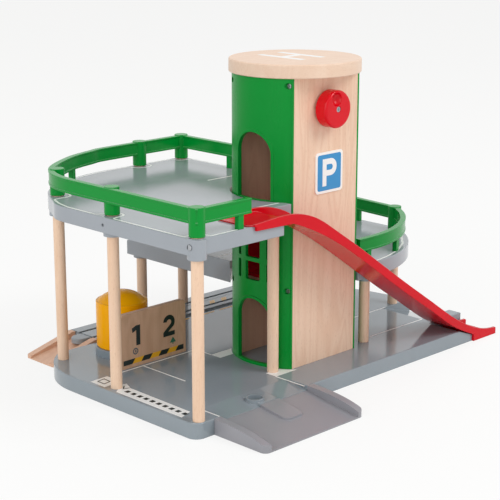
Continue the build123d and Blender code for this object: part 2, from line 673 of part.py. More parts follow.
def mid_outline():
    """Outline of the middle floor."""
    left_y = circle_x(TOWER_GAP_R, MID_LEFT)
    near_x = circle_x(TOWER_GAP_R, 37.0)
    with BuildLine() as line:
        ThreePointArc((MID_LEFT, left_y), (TOWER_GAP_R * 0.8, TOWER_GAP_R * 0.6), (near_x, -37.0))
        Polyline((near_x, -37.0), (near_x, MID_FRONT), (66, MID_FRONT))
        ThreePointArc((66, MID_FRONT), (145, -25.5), (MID_RIGHT, 37))
        Line((MID_RIGHT, 37), (MID_RIGHT, 95))
        Spline((MID_RIGHT, 95), (185.5, 149.5), (153.5, 177.0), (129, 193.5), (100, MID_FAR),
               tangents=((0, 1), (-1, 0.1)))
        Polyline((100, MID_FAR), (MID_LEFT, MID_FAR), (MID_LEFT, left_y))
    return line.edges()


TOP_POCKETS = [
    (-186, -150, -68, -34), (-147, -109, -68, -34),
    (-188, -150, -31, 4), (-147, -109, -31, 4), (-106, -76, -31, 4),
    (-188, -150, 7, 42), (-147, -109, 7, 42), (-106, -72, 7, 42),
    (-188, -150, 45, 80), (-147, -109, 45, 80), (-106, -68, 45, 80),
    (-188, -150, 83, 118), (-147, -109, 83, 118), (-106, -68, 83, 118), (-65, -29, 83, 118),
    (-26, 10, 83, 118), (-170, -150, 121, 146), (-147, -109, 121, 156), (-106, -68, 121, 156),
    (-65, -29, 121, 156), (-26, 10, 121, 156), (-106, -68, 159, 190), (-65, -45, 159, 190),
    (-17, 15, 159, 192),
]
MID_POCKETS = [
    (-38, -6, 84, 118), (-3, 30, 84, 118), (33, 66, 84, 118), (69, 102, 84, 118),
    (105, 138, 84, 118), (141, 174, 84, 118), (-38, -6, 121, 156), (-3, 30, 121, 156),
    (33, 66, 121, 156), (69, 102, 121, 156), (105, 136, 121, 156), (-17, 15, 159, 192),
    (43, 66, 159, 192), (69, 102, 159, 190), (74, 102, 47, 81), (105, 138, 47, 81),
    (141, 174, 47, 81), (74, 102, 10, 44), (105, 138, 10, 44), (141, 174, 14, 44),
    (84, 102, -24, 7), (105, 134, -20, 7),
]


def floor_plate(outline, z0, thick, posts, stub, pockets, corner):
    """A moulded floor: plate, skirt, ribs, round bosses and pillar holes."""
    spots = [PILLARS[name] for name in posts]
    with BuildPart() as plate:
        with BuildSketch(Plane.XY.offset(z0)):
            make_face(outline)
        extrude(amount=thick)
        if corner:
            corners = plate.edges().filter_by(Axis.Z).sort_by_distance((*corner, z0))
            fillet(corners[0], CORNER_R)
        fillet(plate.faces().sort_by(Axis.Z)[-1].outer_wire().edges(), 0.8)
        with BuildSketch(Plane.XY.offset(z0 - BOSS_DROP)):
            with Locations(*spots):
                Circle(BOSS_R)
            for name in stub:
                with Locations(PILLARS[name]):
                    Circle(BOSS_R - 1.4)
        extrude(amount=thick + BOSS_DROP - 0.8)
        with BuildSketch(Plane.XY.offset(z0)):
            for x0, x1, y0, y1 in pockets:
                with Locations(((x0 + x1) / 2, (y0 + y1) / 2)):
                    RectangleRounded(x1 - x0, y1 - y0, 2.5)
        extrude(amount=thick - PLATE_T, mode=Mode.SUBTRACT)
        with BuildSketch(Plane.XY.offset(z0 - BOSS_DROP)):
            with Locations(*spots):
                Circle(PILLAR_R + FIT)
        extrude(amount=thick + BOSS_DROP, mode=Mode.SUBTRACT)
        if stub:
            with BuildSketch(Plane.XY.offset(z0 - BOSS_DROP)):
                with Locations(*[PILLARS[name] for name in stub]):
                    Circle(PILLAR_R + FIT)
            extrude(amount=thick + BOSS_DROP - PLATE_T, mode=Mode.SUBTRACT)
    return plate.part


top_plate = floor_plate(top_outline(), TOP_Z, TOP_T, TOP_ONLY + BOTH, ("pillar_tower",),
                        TOP_POCKETS, (BASE_LEFT, BASE_FRONT))

DECK_SCREWS = [(PILLARS[name][0] - BOSS_R, PILLARS[name][1]) for name in SCREWED]
DECK_SCREW_Z = TOP_Z + 7.0

with BuildPart() as top_floor:
    add(top_plate)
    for x, y in DECK_SCREWS:
        with Locations(Location((x, y, DECK_SCREW_Z), (0, 90, 0))):
            Cylinder(SCREW_R + FIT, 12, mode=Mode.SUBTRACT)
            Cylinder(SCREW_HEAD_R + 2 * FIT, 1.6, mode=Mode.SUBTRACT)

save(top_floor.part, "top_floor")

mid_plate = floor_plate(mid_outline(), MID_Z, MID_T, MID_THROUGH + BOTH, MID_STUB, MID_POCKETS, None)

with BuildPart() as middle_floor:
    add(mid_plate)
    kerb_y0 = circle_x(TOWER_GAP_R, MID_LEFT) + 1.0
    with BuildSketch(Plane.XY.offset(MID_SURFACE - 1.0)):
        with Locations((MID_LEFT, kerb_y0)):
            Rectangle(KERB_T, MID_FAR - KERB_T - kerb_y0, align=(Align.MIN, Align.MIN))
    extrude(amount=KERB_H + 1.0)

save(middle_floor.part, "middle_floor")


# ============================================================================= fences
def fence(path, floor_z, caps, posts):
    """Moulded fence: a rail, round caps over the pillar tops and thin posts on the floor."""
    with BuildPart() as rail:
        with BuildSketch(Plane.XY.offset(floor_z + RAIL_Z)):
            trace(path, RAIL_T)
        extrude(amount=RAIL_H)
        for bead_z in (RAIL_Z, RAIL_Z + RAIL_H - BEAD_H):
            with BuildSketch(Plane.XY.offset(floor_z + bead_z)):
                trace(path, RAIL_T + 2 * BEAD_OUT)
            extrude(amount=BEAD_H)
        with BuildSketch(Plane.XY.offset(floor_z)):
            for x, y, turn in posts:
                with Locations(Location((x, y, 0), (0, 0, turn))):
                    Rectangle(POST_W, RAIL_T - 0.4)
        extrude(amount=RAIL_Z + 1.0)
        for name in caps:
            with BuildSketch(Plane.XY.offset(floor_z + CAP_LIFT)):
                with Locations(PILLARS[name]):
                    Circle(CAP_R)
            extrude(amount=CAP_H)
        tops = rail.faces().sort_by(Axis.Z)[-len(caps):]
        fillet(tops.edges().filter_by(GeomType.CIRCLE), CAP_EDGE_R)
        for name in caps:
            with BuildSketch(Plane.XY.offset(floor_z + CAP_LIFT)):
                with Locations(PILLARS[name]):
                    Circle(PILLAR_R + FIT)
            extrude(amount=PILLAR_TOP - CAP_LIFT, mode=Mode.SUBTRACT)
    return rail.part


with BuildLine() as left_path:
    Polyline((-141.0, -80.6), (-203.6, -80.6), (-203.6, 86.0))
    Spline((-203.6, 86.0), (-202.0, 108.0), (-196.8, 126.5), (-186.8, 143.4), (-166.5, 161.6),
           (-146.0, 174.2), (-124.0, 184.6), (-99.0, 191.6), (-62.0, 195.6), tangents=((0, 1), (1, 0)))
    Polyline((-62.0, 195.6), (28.5, 195.6), (28.5, 66.0))

left_fence = fence(left_path.line, TOP_SURFACE,
                   ("pillar_front_left", "pillar_left", "pillar_back_left", "pillar_back",
                    "pillar_back_mid"),
                   ((-153.5, -80.6, 0), (-134.0, 180.2, 25), (28.5, 120.0, 90), (28.5, 70.0, 90)))
save(left_fence, "left_fence")

with BuildLine() as right_path:
    Line((56.0, -36.0), (76.0, -36.0))
    ThreePointArc((76.0, -36.0), (142.0, -20.0), (197.0, 33.4))
    Line((197.0, 33.4), (201.5, 95.0))
    ThreePointArc((201.5, 95.0), (181.0, 146.0), (150.0, 172.0))
    Spline((150.0, 172.0), (126.0, 188.3), (100.0, 198.5), tangents=((-0.8, 0.6), (-1, 0.1)))
    Line((100.0, 198.5), (48.0, 198.5))

right_fence = fence(right_path.line, MID_SURFACE, ("pillar_right",),
                    ((71.0, -36.0, 0), (126.0, -27.2, 18), (201.2, 90.0, 90), (150.0, 172.0, -37),
                     (100.0, 198.4, 0), (51.5, 198.5, 0)))
save(right_fence, "right_fence")

# ============================================================================= pillars
def pillar(name):
    """One turned wooden pillar from its base socket to the floor or cap it carries."""
    x, y = PILLARS[name]
    low = BASE_H - SOCKET_D
    if name in TOP_ONLY + BOTH:
        high = TOP_SURFACE + PILLAR_TOP
    elif name == "pillar_tower":
        high = TOP_SURFACE - PLATE_T
    elif name == "pillar_right":
        high = MID_SURFACE + PILLAR_TOP
    else:
        high = MID_SURFACE - PLATE_T
    with BuildPart() as rod:
        with BuildSketch(Plane.XY.offset(BASE_H)):
            with Locations((x, y)):
                Circle(PILLAR_R)
        extrude(amount=high - BASE_H)
        chamfer(rod.edges().filter_by(GeomType.CIRCLE).sort_by(Axis.Z)[-1], 0.6)
        with BuildSketch(Plane.XY.offset(low)):
            with Locations((x, y)):
                Circle(TENON_R)
        extrude(amount=BASE_H - low)
        if name in SCREWED:
            with Locations(Location((x - BOSS_R, y, DECK_SCREW_Z), (0, 90, 0))):
                Cylinder(SCREW_R, 18, mode=Mode.SUBTRACT)
    return rod.part


for pillar_name in PILLARS:
    save(pillar(pillar_name), pillar_name)

# ============================================================================= slide
with BuildPart() as slide:
    # outer body of the channel
    with BuildSketch(Plane.XZ.offset(-SLIDE_Y1)):
        with BuildLine():
            Spline(*SLIDE_TOP)
            Polyline(SLIDE_TOP[-1], (SLIDE_END, 6.2), (SLIDE_END, 0.0), (SLIDE_LOW[-1][0], 0.0),
                     SLIDE_LOW[-1])
            Spline(*SLIDE_LOW[::-1])
            Polyline(SLIDE_LOW[0], (TOP_SLIDE_X + 0.4, TOP_SURFACE - 2.2),
                     (TOP_SLIDE_X + 0.4, TOP_SURFACE + 0.02),
                     (SLIDE_TOP[0][0], TOP_SURFACE + 0.02), SLIDE_TOP[0])
        make_face()
    extrude(amount=SLIDE_Y1 - SLIDE_Y0)
    # way for the cars between the two side walls
    road = [(x, z + SLIDE_FLOOR) for x, z in SLIDE_LOW[1:-2]]
    road += [(174.0, 15.0), (190.0, 8.4), (206.0, 3.6), (SLIDE_END + 1.0, 1.3)]
    with BuildSketch(Plane.XZ.offset(-SLIDE_Y1 + SLIDE_WALL)):
        with BuildLine():
            Line((SLIDE_TOP[0][0] - 1, TOP_SURFACE + TONGUE_T), (-103.0, TOP_SURFACE + TONGUE_T))
            Spline((-103.0, TOP_SURFACE + TONGUE_T), *road, tangents=((1, -0.05), (1, -0.03)))
            Polyline(road[-1], (SLIDE_END + 1.0, 40), (60, 140), (-60, 200),
                     (SLIDE_TOP[0][0] - 1, 200), (SLIDE_TOP[0][0] - 1, TOP_SURFACE + TONGUE_T))
        make_face()
    extrude(amount=SLIDE_Y1 - SLIDE_Y0 - 2 * SLIDE_WALL, mode=Mode.SUBTRACT)
    # tongue on the top floor
    with BuildSketch(Plane.XY.offset(TOP_SURFACE + 0.02)):
        with BuildLine():
            Polyline((SLIDE_TOP[0][0] + 3, SLIDE_Y1), (TONGUE_X, SLIDE_Y1), (TONGUE_X, -79.0),
                     (SLIDE_TOP[0][0], SLIDE_Y0 + 2.4), (SLIDE_TOP[0][0] + 3, SLIDE_Y0 + 2.4),
                     (SLIDE_TOP[0][0] + 3, SLIDE_Y1))
        make_face()
    extrude(amount=TONGUE_T)
    # apron of the near wall in front of the floor's edge
    with BuildSketch(Plane.XZ.offset(-SLIDE_Y0 - 2.2)):
        Polygon((APRON_X, APRON_Z), (-88.0, 175.4), (-88.0, 183.0), (-100.0, 184.0),
                (APRON_X, 182.9), align=None)
    extrude(amount=2.2)

save(slide.part, "slide")

# ============================================================================= tank and board
with BuildPart() as tank_plinth:
    with BuildSketch(Plane.XY.offset(BASE_H)):
        with Locations(TANK_XY):
            Circle(PLINTH_R)
    extrude(amount=PLINTH_H)
    fillet(tank_plinth.edges().sort_by(Axis.Z)[-1], 1.0)
    with BuildSketch(Plane.XY.offset(BASE_H + PLINTH_H)):
        with Locations(TANK_XY):
            Circle(9.0 + FIT)
    extrude(amount=-4.0, mode=Mode.SUBTRACT)

save(tank_plinth.part, "tank_plinth")

dome_mid_z = TANK_TOP + TANK_DOME - DOME_R + math.sqrt(DOME_R**2 - (DOME_HALF / 2) ** 2)

with BuildPart() as fuel_tank:
    with BuildSketch(Plane.XZ.offset(-TANK_XY[1])):
        with BuildLine():
            Polyline((TANK_XY[0], TANK_TOP + TANK_DOME), (TANK_XY[0], BASE_H + PLINTH_H - 4.0),
                     (TANK_XY[0] + 9.0, BASE_H + PLINTH_H - 4.0),
                     (TANK_XY[0] + 9.0, BASE_H + PLINTH_H),
                     (TANK_XY[0] + TANK_R - 1.2, BASE_H + PLINTH_H),
                     (TANK_XY[0] + TANK_R, BASE_H + PLINTH_H + 1.2),
                     (TANK_XY[0] + TANK_R, TANK_TOP - 0.6),
                     (TANK_XY[0] + TANK_R - 0.6, TANK_TOP),
                     (TANK_XY[0] + DOME_HALF, TANK_TOP))
            ThreePointArc((TANK_XY[0] + DOME_HALF, TANK_TOP), (TANK_XY[0] + DOME_HALF / 2, dome_mid_z),
                          (TANK_XY[0], TANK_TOP + TANK_DOME))
        make_face()
    revolve(axis=Axis((TANK_XY[0], TANK_XY[1], 0), (0, 0, 1)))

save(fuel_tank.part, "fuel_tank")

with BuildPart() as number_board:
    with BuildSketch(Plane.XZ.offset(-BOARD_Y - BOARD_T)):
        with Locations(((BOARD_X0 + BOARD_X1) / 2, (BASE_H + BOARD_TOP) / 2)):
            Rectangle(BOARD_X1 - BOARD_X0, BOARD_TOP - BASE_H)
    extrude(amount=BOARD_T)
    ends = number_board.edges().filter_by(Axis.Y).group_by(Axis.Z)[-1]
    fillet(ends, 5.0)
    with BuildSketch(Plane.XY.offset(BASE_H)):
        with Locations(*BOARD_PEGS):
            Circle(PEG_R + FIT)
    extrude(amount=PEG_L / 2, mode=Mode.SUBTRACT)

save(number_board.part, "number_board")

with BuildPart() as board_pegs:
    with BuildSketch(Plane.XY.offset(BASE_H - PEG_L / 2 + 0.1)):
        with Locations(*BOARD_PEGS):
            Circle(PEG_R)
    extrude(amount=PEG_L - 0.2)

save(board_pegs.part, "board_pegs")

with BuildPart() as sign_plate:
    with BuildSketch(Plane.XZ.offset(-WALL_FRONT)):
        with Locations((SIGN_X, SIGN_Z)):
            RectangleRounded(SIGN_W, SIGN_H, SIGN_CORNER_R)
    extrude(amount=SIGN_T)

save(sign_plate.part, "sign_plate")

# ============================================================================= screws
with BuildPart() as shell_screws:
    for side in (-1, 1):
        for y in WALL_MIDS:
            for z in SCREW_ROWS:
                with Locations(Location((side * (SCREW_SEAT + 0.7), y, z), (0, 90, 0))):
                    Cylinder(SCREW_HEAD_R, 1.4)
                with Locations(Location((side * (SCREW_SEAT - 5.0), y, z), (0, 90, 0))):
                    Cylinder(SCREW_R, 10.0)
                with Locations(Location((side * (SCREW_SEAT + 1.4), y, z), (0, 90, 0))):
                    Box(3.2, 0.7, 1.4, mode=Mode.SUBTRACT)
                    Box(0.7, 3.2, 1.4, mode=Mode.SUBTRACT)

save(shell_screws.part, "shell_screws")

with BuildPart() as floor_screws:
    for x, y in DECK_SCREWS:
        with Locations(Location((x + 0.1, y, DECK_SCREW_Z), (0, 90, 0))):
            Cylinder(SCREW_HEAD_R, 1.2)
        with Locations(Location((x + 4.5, y, DECK_SCREW_Z), (0, 90, 0))):
            Cylinder(SCREW_R - 0.05, 8.0)

save(floor_screws.part, "floor_screws")
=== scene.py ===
"""Looks of the toy parking garage with a lift: finishes, printed marks, stage, lamps and camera.

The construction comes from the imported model. This script dresses it and adds what is printed on it.
Prints are written in millimetres, because the object is measured in them, and MM turns them into
metres. Finishes, lamps and the camera are in metres.
"""

import json
import logging
import math
from collections.abc import Sequence
from dataclasses import dataclass
from enum import Enum

import bmesh
import bpy
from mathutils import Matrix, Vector


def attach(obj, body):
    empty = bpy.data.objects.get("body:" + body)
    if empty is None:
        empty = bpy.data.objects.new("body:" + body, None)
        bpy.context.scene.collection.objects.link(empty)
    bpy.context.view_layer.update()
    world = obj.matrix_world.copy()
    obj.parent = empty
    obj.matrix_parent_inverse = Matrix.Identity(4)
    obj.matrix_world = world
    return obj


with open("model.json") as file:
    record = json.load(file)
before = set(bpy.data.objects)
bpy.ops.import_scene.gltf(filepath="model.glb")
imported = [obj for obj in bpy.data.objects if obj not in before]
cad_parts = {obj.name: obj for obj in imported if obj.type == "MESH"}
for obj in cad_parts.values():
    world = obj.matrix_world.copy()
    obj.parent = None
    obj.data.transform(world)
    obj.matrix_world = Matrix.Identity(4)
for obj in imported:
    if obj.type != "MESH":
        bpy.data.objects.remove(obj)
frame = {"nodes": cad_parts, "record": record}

log = logging.getLogger("garage")

MM = 0.001
Triple = tuple[float, float, float]
Colour = Triple
Point = tuple[float, float]
Path = tuple[Point, ...]
Shape = list[Point]

# The curve of written colours: the end of its straight foot, the slope there, and the offset and
# power of the part above it.
FOOT, SLOPE, OFFSET, POWER = 0.04045, 12.92, 0.055, 2.4

# Places of the colour sockets of a Mix node, whose names repeat.
MIX_FROM, MIX_TO, MIX_RESULT = 6, 7, 2

# Where an edge begins and is full, by how far the rounded normal turns away from the plain one.
EDGE_TURN = (0.02, 0.25)
# Where a surface begins to face up and is level enough, by the upward part of its normal.
UPWARD = (0.25, 0.65)
BEVEL_SAMPLES = 6

# Pieces in a bend of a line and in a hoop, and how far a sharp corner of a line may reach.
BEND_STEPS = 6
HOOP_STEPS = 24
MITRE_LIMIT = 0.4


def paint(code: str) -> Colour:
    """Turns a written colour into scene light.

    Args:
        code: Six hexadecimal digits, as on a paint card.

    Returns:
        The linear red, green and blue.
    """
    parts = [int(code[i:i + 2], 16) / 255 for i in (0, 2, 4)]
    return tuple(p / SLOPE if p <= FOOT else ((p + OFFSET) / (1 + OFFSET)) ** POWER for p in parts)


# ----------------------------------------------------------------------------- shader arithmetic
class Value:
    """A node socket that takes part in Python arithmetic."""

    def __init__(self, graph: "Graph", socket: bpy.types.NodeSocket | None) -> None:
        """Keeps the socket and the graph it belongs to."""
        self.graph = graph
        self.socket = socket

    def __add__(self, other: "Value | float") -> "Value":
        """Sum of two values."""
        return self.graph.math("ADD", self, other)

    def __mul__(self, other: "Value | float") -> "Value":
        """Product of two values."""
        return self.graph.math("MULTIPLY", self, other)

    def __sub__(self, other: "Value | float") -> "Value":
        """Difference of two values."""
        return self.graph.math("SUBTRACT", self, other)

    def __rsub__(self, other: float) -> "Value":
        """A number less this value."""
        return self.graph.math("SUBTRACT", other, self)

    __radd__ = __add__
    __rmul__ = __mul__

    def above(self, low: float, high: float) -> "Value":
        """Ramps from 0 at low to 1 at high."""
        return self.graph.math("MULTIPLY", self - low, 1.0 / (high - low), clamp=True)

    def around(self, level: float, swing: float) -> "Value":
        """Turns noise into a value that swings about a level."""
        return self * swing + (level - swing / 2)


class Grain(Enum):
    """Which way a texture runs, such as the grain of wood."""

    ALONG_X = 0
    ALONG_Y = 1
    ALONG_Z = 2


@dataclass(frozen=True)
class Layer:
    """A layer of noise in a finish.

    Attributes:
        across: Its scale across the way it runs, per metre.
        along: Its scale along that way, or None for the same one.
        run: The way it runs.
        detail: How many finer steps it has.
        rough: How strong those are.
        distortion: How far it is warped.
    """

    across: float
    along: float | None = None
    run: Grain = Grain.ALONG_Z
    detail: float = 2.0
    rough: float = 0.5
    distortion: float = 0.0

    def scales(self, run: Grain) -> Triple:
        """Scales along the three axes, for a layer that runs a given way."""
        along = self.across if self.along is None else self.along
        return tuple(along if axis == run.value else self.across for axis in range(3))


class Graph:
    """The nodes of one material or world."""

    def __init__(self, owner: bpy.types.Material | bpy.types.World) -> None:
        """Starts without nodes.

        Args:
            owner: The new material or world that the nodes belong to.
        """
        self.owner = owner
        owner.use_nodes = True
        self.tree = owner.node_tree
        self.tree.nodes.clear()

    def node(self, kind: str, settings: dict | None = None, inputs: dict | None = None,
             out: int | str = 0) -> Value:
        """Adds one node.

        Args:
            kind: The node's type.
            settings: Its properties, which are set first.
            inputs: Numbers, colours or values for its sockets, by name or place.
            out: Which of its outputs is wanted, by name or place.

        Returns:
            That output, which is empty for a node that ends the graph.
        """
        made = self.tree.nodes.new(kind)
        for key, setting in (settings or {}).items():
            setattr(made, key, setting)
        for key, given in (inputs or {}).items():
            if isinstance(given, Value):
                self.tree.links.new(given.socket, made.inputs[key])
            else:
                made.inputs[key].default_value = given
        return Value(self, made.outputs[out] if made.outputs else None)

    def math(self, operation: str, a: Value | float, b: Value | float,
             clamp: bool = False) -> Value:
        """One Math node."""
        settings = {"operation": operation, "use_clamp": clamp}
        return self.node("ShaderNodeMath", settings, {0: a, 1: b})

    def mix(self, factor: Value | float, a: Value | Colour, b: Value | Colour) -> Value:
        """Mixes two colours.

        Args:
            factor: How much of the second one there is.
            a: The first colour.
            b: The second colour.

        Returns:
            The mixed colour.
        """
        start, end = [c if isinstance(c, Value) else (*c, 1.0) for c in (a, b)]
        inputs = {0: factor, MIX_FROM: start, MIX_TO: end}
        return self.node("ShaderNodeMix", {"data_type": "RGBA"}, inputs, MIX_RESULT)

    def ray(self, kind: str) -> Value:
        """Whether a ray is of a kind, by the name of its socket."""
        return self.node("ShaderNodeLightPath", out=kind)

    def noise(self, layer: Layer, run: Grain | None = None, shift: float = 0.0) -> Value:
        """Noise from about 0 to 1, fixed to the object.

        Args:
            layer: Its scales and settings.
            run: The way it runs, if not the layer's own way.
            shift: Where in the noise the object is cut from.

        Returns:
            The noise.
        """
        place = self.node("ShaderNodeTexCoord", out="Object")
        scales = layer.scales(layer.run if run is None else run)
        scaled = self.node("ShaderNodeVectorMath", {"operation": "MULTIPLY"}, {0: place, 1: scales})
        moved = self.node("ShaderNodeVectorMath", {"operation": "ADD"},
                          {0: scaled, 1: (shift,) * 3})
        return self.node("ShaderNodeTexNoise", None,
                         {"Vector": moved, "Scale": 1.0, "Detail": layer.detail,
                          "Roughness": layer.rough, "Distortion": layer.distortion})

    def rounded(self, radius: float) -> Value:
        """Normal with its sharp edges rounded off by a radius."""
        return self.node("ShaderNodeBevel", {"samples": BEVEL_SAMPLES}, {"Radius": radius})

    def edge(self, rounded: Value) -> Value:
        """Marks the edges, where the rounded normal turns away from the plain one.

        Args:
            rounded: The rounded normal.

        Returns:
            1 on an edge and 0 off it.
        """
        plain = self.node("ShaderNodeNewGeometry", out="Normal")
        same = self.node("ShaderNodeVectorMath", {"operation": "DOT_PRODUCT"},
                         {0: rounded, 1: plain}, "Value")
        return (1.0 - same).above(*EDGE_TURN)

    def upper_edge(self, rounded: Value) -> Value:
        """The edges that face up, which take the painted highlight of plastics."""
        up = self.node("ShaderNodeSeparateXYZ", None, {0: rounded}, "Z")
        return self.edge(rounded) * up.above(*UPWARD)

    def bump(self, height: Value, depth: float, normal: Value | None = None) -> Value:
        """Relief from a height.

        Args:
            height: The height, from 0 to 1.
            depth: What a height of 1 stands for, in metres.
            normal: The normal that it works on, if not the plain one.

        Returns:
            The normal with its relief.
        """
        sockets = {"Height": height, "Strength": 1.0, "Distance": depth}
        if normal is not None:
            sockets["Normal"] = normal
        return self.node("ShaderNodeBump", None, sockets)

    def surface(self, **sockets: "Value | float | Colour") -> bpy.types.Material:
        """Ends the graph in a shader.

        Args:
            **sockets: Shader sockets by name, with _ for a space.

        Returns:
            The finished material.
        """
        shader = self.node("ShaderNodeBsdfPrincipled", None,
                           {key.replace("_", " "): given for key, given in sockets.items()})
        self.node("ShaderNodeOutputMaterial", None, {"Surface": shader})
        return self.owner


# ----------------------------------------------------------------------------- finishes
@dataclass(frozen=True)
class Beech:
    """Clear lacquered beech: fine fibres, short dark flecks and a faint figure.

    Attributes:
        figure: How strong the figure of the rings is.
        shift: Where in the noise the piece is cut from, so that no two woods match.
        *_part: How much a layer adds to the tone or the relief.
        *_range: Where a layer begins to show and shows fully.
    """

    name: str
    grain: Grain = Grain.ALONG_Z
    light: Colour = paint("F0D0B4")
    dark: Colour = paint("D9AE8C")
    fleck: Colour = paint("B98A66")
    figure: float = 0.35
    roughness: float = 0.42
    swing: float = 0.12
    gloss: float = 0.4
    shift: float = 0.0
    fibre: Layer = Layer(900.0, 22.0, detail=3.0, rough=0.6)
    broad: Layer = Layer(70.0, 5.0, distortion=0.6)
    rings: Layer = Layer(26.0, 3.2, detail=1.0, rough=0.4, distortion=1.6)
    dashes: Layer = Layer(1500.0, 240.0, detail=1.0)
    fibre_part: float = 0.40
    broad_part: float = 0.95
    ring_part: float = 0.5
    ring_rate: float = 60.0
    tone_range: Point = (0.28, 0.95)
    dash_range: Point = (0.60, 0.72)
    dash_part: float = 0.22
    dash_depth: float = 0.4
    edge_radius: float = 0.0005
    edge_wear_and_highlight: float = 0.25
    relief: float = 0.00004

    def build(self) -> bpy.types.Material:
        """Makes the material.

        Returns:
            The wood.
        """
        g = Graph(bpy.data.materials.new(self.name))
        layers = (self.fibre, self.broad, self.rings, self.dashes)
        fibre, broad, rings, dashes = [g.noise(layer, self.grain, self.shift) for layer in layers]
        bands = g.math("SINE", rings * self.ring_rate, 0.0) * 0.5 + 0.5
        dash = dashes.above(*self.dash_range)
        tone = (fibre * self.fibre_part + broad * (self.broad_part - self.figure)
                + bands * self.figure * self.ring_part)
        base = g.mix(tone.above(*self.tone_range), self.light, self.dark)
        flecked = g.mix(dash * self.dash_part, base, self.fleck)
        rounded = g.rounded(self.edge_radius)
        worn_and_highlit = g.mix(g.edge(rounded) * self.edge_wear_and_highlight, flecked, self.fleck)
        normal = g.bump(fibre + dash * -self.dash_depth, self.relief, rounded)
        return g.surface(Base_Color=worn_and_highlit, Roughness=fibre.around(self.roughness, self.swing),
                         Specular_IOR_Level=self.gloss, Normal=normal)


@dataclass(frozen=True)
class Moulded:
    """Moulded plastic: even colour, a little mottling, fine skin texture, soft edges and a painted
    highlight along its upper edges.

    Attributes:
        shade: The colour of the darker patches.
        gloss: How strongly it mirrors.
        skin: Depth of the skin texture.
        edge_highlight_tint: The colour of the painted highlight on upper edges.
        rough_drop: What the noise adds to the roughness on average.
    """

    name: str
    colour: Colour
    shade: Colour
    roughness: float = 0.26
    skin: float = 0.000012
    gloss: float = 0.22
    edge_radius: float = 0.0007
    edge_highlight_tint: Colour = (0.9, 0.9, 0.9)
    edge_wear_and_highlight: float = 0.06
    cloud: Layer = Layer(16.0, detail=3.0, rough=0.55)
    grit: Layer = Layer(2400.0, rough=0.6)
    smear: Layer = Layer(60.0, 24.0, detail=4.0, rough=0.6, distortion=0.8)
    cloud_range: Point = (0.30, 0.72)
    cloud_part: float = 0.8
    smear_part: float = 0.10
    grit_part: float = 0.05
    rough_drop: float = 0.07

    def build(self) -> bpy.types.Material:
        """Makes the material.

        Returns:
            The plastic.
        """
        g = Graph(bpy.data.materials.new(self.name))
        cloud, grit, smear = [g.noise(layer) for layer in (self.cloud, self.grit, self.smear)]
        rounded = g.rounded(self.edge_radius)
        patches = cloud.above(*self.cloud_range) * self.cloud_part
        body = g.mix(patches, self.colour, self.shade)
        # Painted highlight: the upper edges are lightened towards edge_highlight_tint, for light
        # caught by their rounded rims.
        worn_and_highlit = g.mix(g.upper_edge(rounded) * self.edge_wear_and_highlight, body, self.edge_highlight_tint)
        roughness = (smear * self.smear_part + grit * self.grit_part
                     + (self.roughness - self.rough_drop))
        return g.surface(Base_Color=worn_and_highlit, Roughness=roughness, Specular_IOR_Level=self.gloss,
                         Normal=g.bump(grit, self.skin, rounded))


@dataclass(frozen=True)
class Lacquer:
    """Glossy grey lacquer on board: it mirrors what stands on it, with fine dust and a painted
    highlight along its edges.
    """

    name: str
    colour: Colour
    shade: Colour
    roughness: float = 0.20
    swing: float = 0.14
    gloss: float = 0.55
    dust: Colour = paint("C9CDD0")
    dust_part: float = 0.10
    dust_rough: float = 0.05
    # A lighter grey painted along every edge as a highlight.
    edge_highlight_tint: Colour = paint("D5DADD")
    edge_wear_and_highlight: float = 0.12
    edge_radius: float = 0.0010
    skin: float = 0.00001
    cloud: Layer = Layer(9.0, detail=3.0, rough=0.55)
    cloud_range: Point = (0.30, 0.72)
    specks: Layer = Layer(1800.0, detail=1.0)
    speck_range: Point = (0.62, 0.74)
    wipe: Layer = Layer(34.0, 90.0, Grain.ALONG_Y, detail=4.0, rough=0.65, distortion=0.7)
    peel: Layer = Layer(420.0, detail=1.0, rough=0.4)

    def build(self) -> bpy.types.Material:
        """Makes the material.

        Returns:
            The lacquer.
        """
        g = Graph(bpy.data.materials.new(self.name))
        layers = (self.cloud, self.specks, self.wipe, self.peel)
        cloud, specks, wipe, peel = [g.noise(layer) for layer in layers]
        speck = specks.above(*self.speck_range)
        rounded = g.rounded(self.edge_radius)
        body = g.mix(cloud.above(*self.cloud_range), self.colour, self.shade)
        dusty = g.mix(speck * self.dust_part, body, self.dust)
        # Painted highlight: every edge is lightened towards edge_highlight_tint, for light on the
        # rounded rims.
        worn_and_highlit = g.mix(g.edge(rounded) * self.edge_wear_and_highlight, dusty, self.edge_highlight_tint)
        roughness = wipe.around(self.roughness, self.swing) + speck * self.dust_rough
        return g.surface(Base_Color=worn_and_highlit, Roughness=roughness, Specular_IOR_Level=self.gloss,
                         Normal=g.bump(peel, self.skin, rounded))


@dataclass(frozen=True)
class Steel:
    """Zinc plated steel with fine turning marks."""

    name: str
    colour: Colour = paint("B9BCC0")
    shade: Colour = paint("7F8387")
    shade_part: float = 0.5
    roughness: float = 0.16
    turned_rough: float = 0.15
    dull_rough: float = 0.12
    edge_radius: float = 0.0003
    skin: float = 0.00001
    turned: Layer = Layer(300.0, 4200.0, Grain.ALONG_Y, rough=0.6)
    dull: Layer = Layer(500.0, detail=3.0, rough=0.6)
    dull_range: Point = (0.35, 0.75)

    def build(self) -> bpy.types.Material:
        """Makes the material.

        Returns:
            The metal.
        """
        g = Graph(bpy.data.materials.new(self.name))
        turned, dull = g.noise(self.turned), g.noise(self.dull)
        tone = g.mix(dull.above(*self.dull_range) * self.shade_part, self.colour, self.shade)
        roughness = turned * self.turned_rough + dull * self.dull_rough + self.roughness
        return g.surface(Base_Color=tone, Metallic=1.0, Roughness=roughness,
                         Normal=g.bump(turned, self.skin, g.rounded(self.edge_radius)))


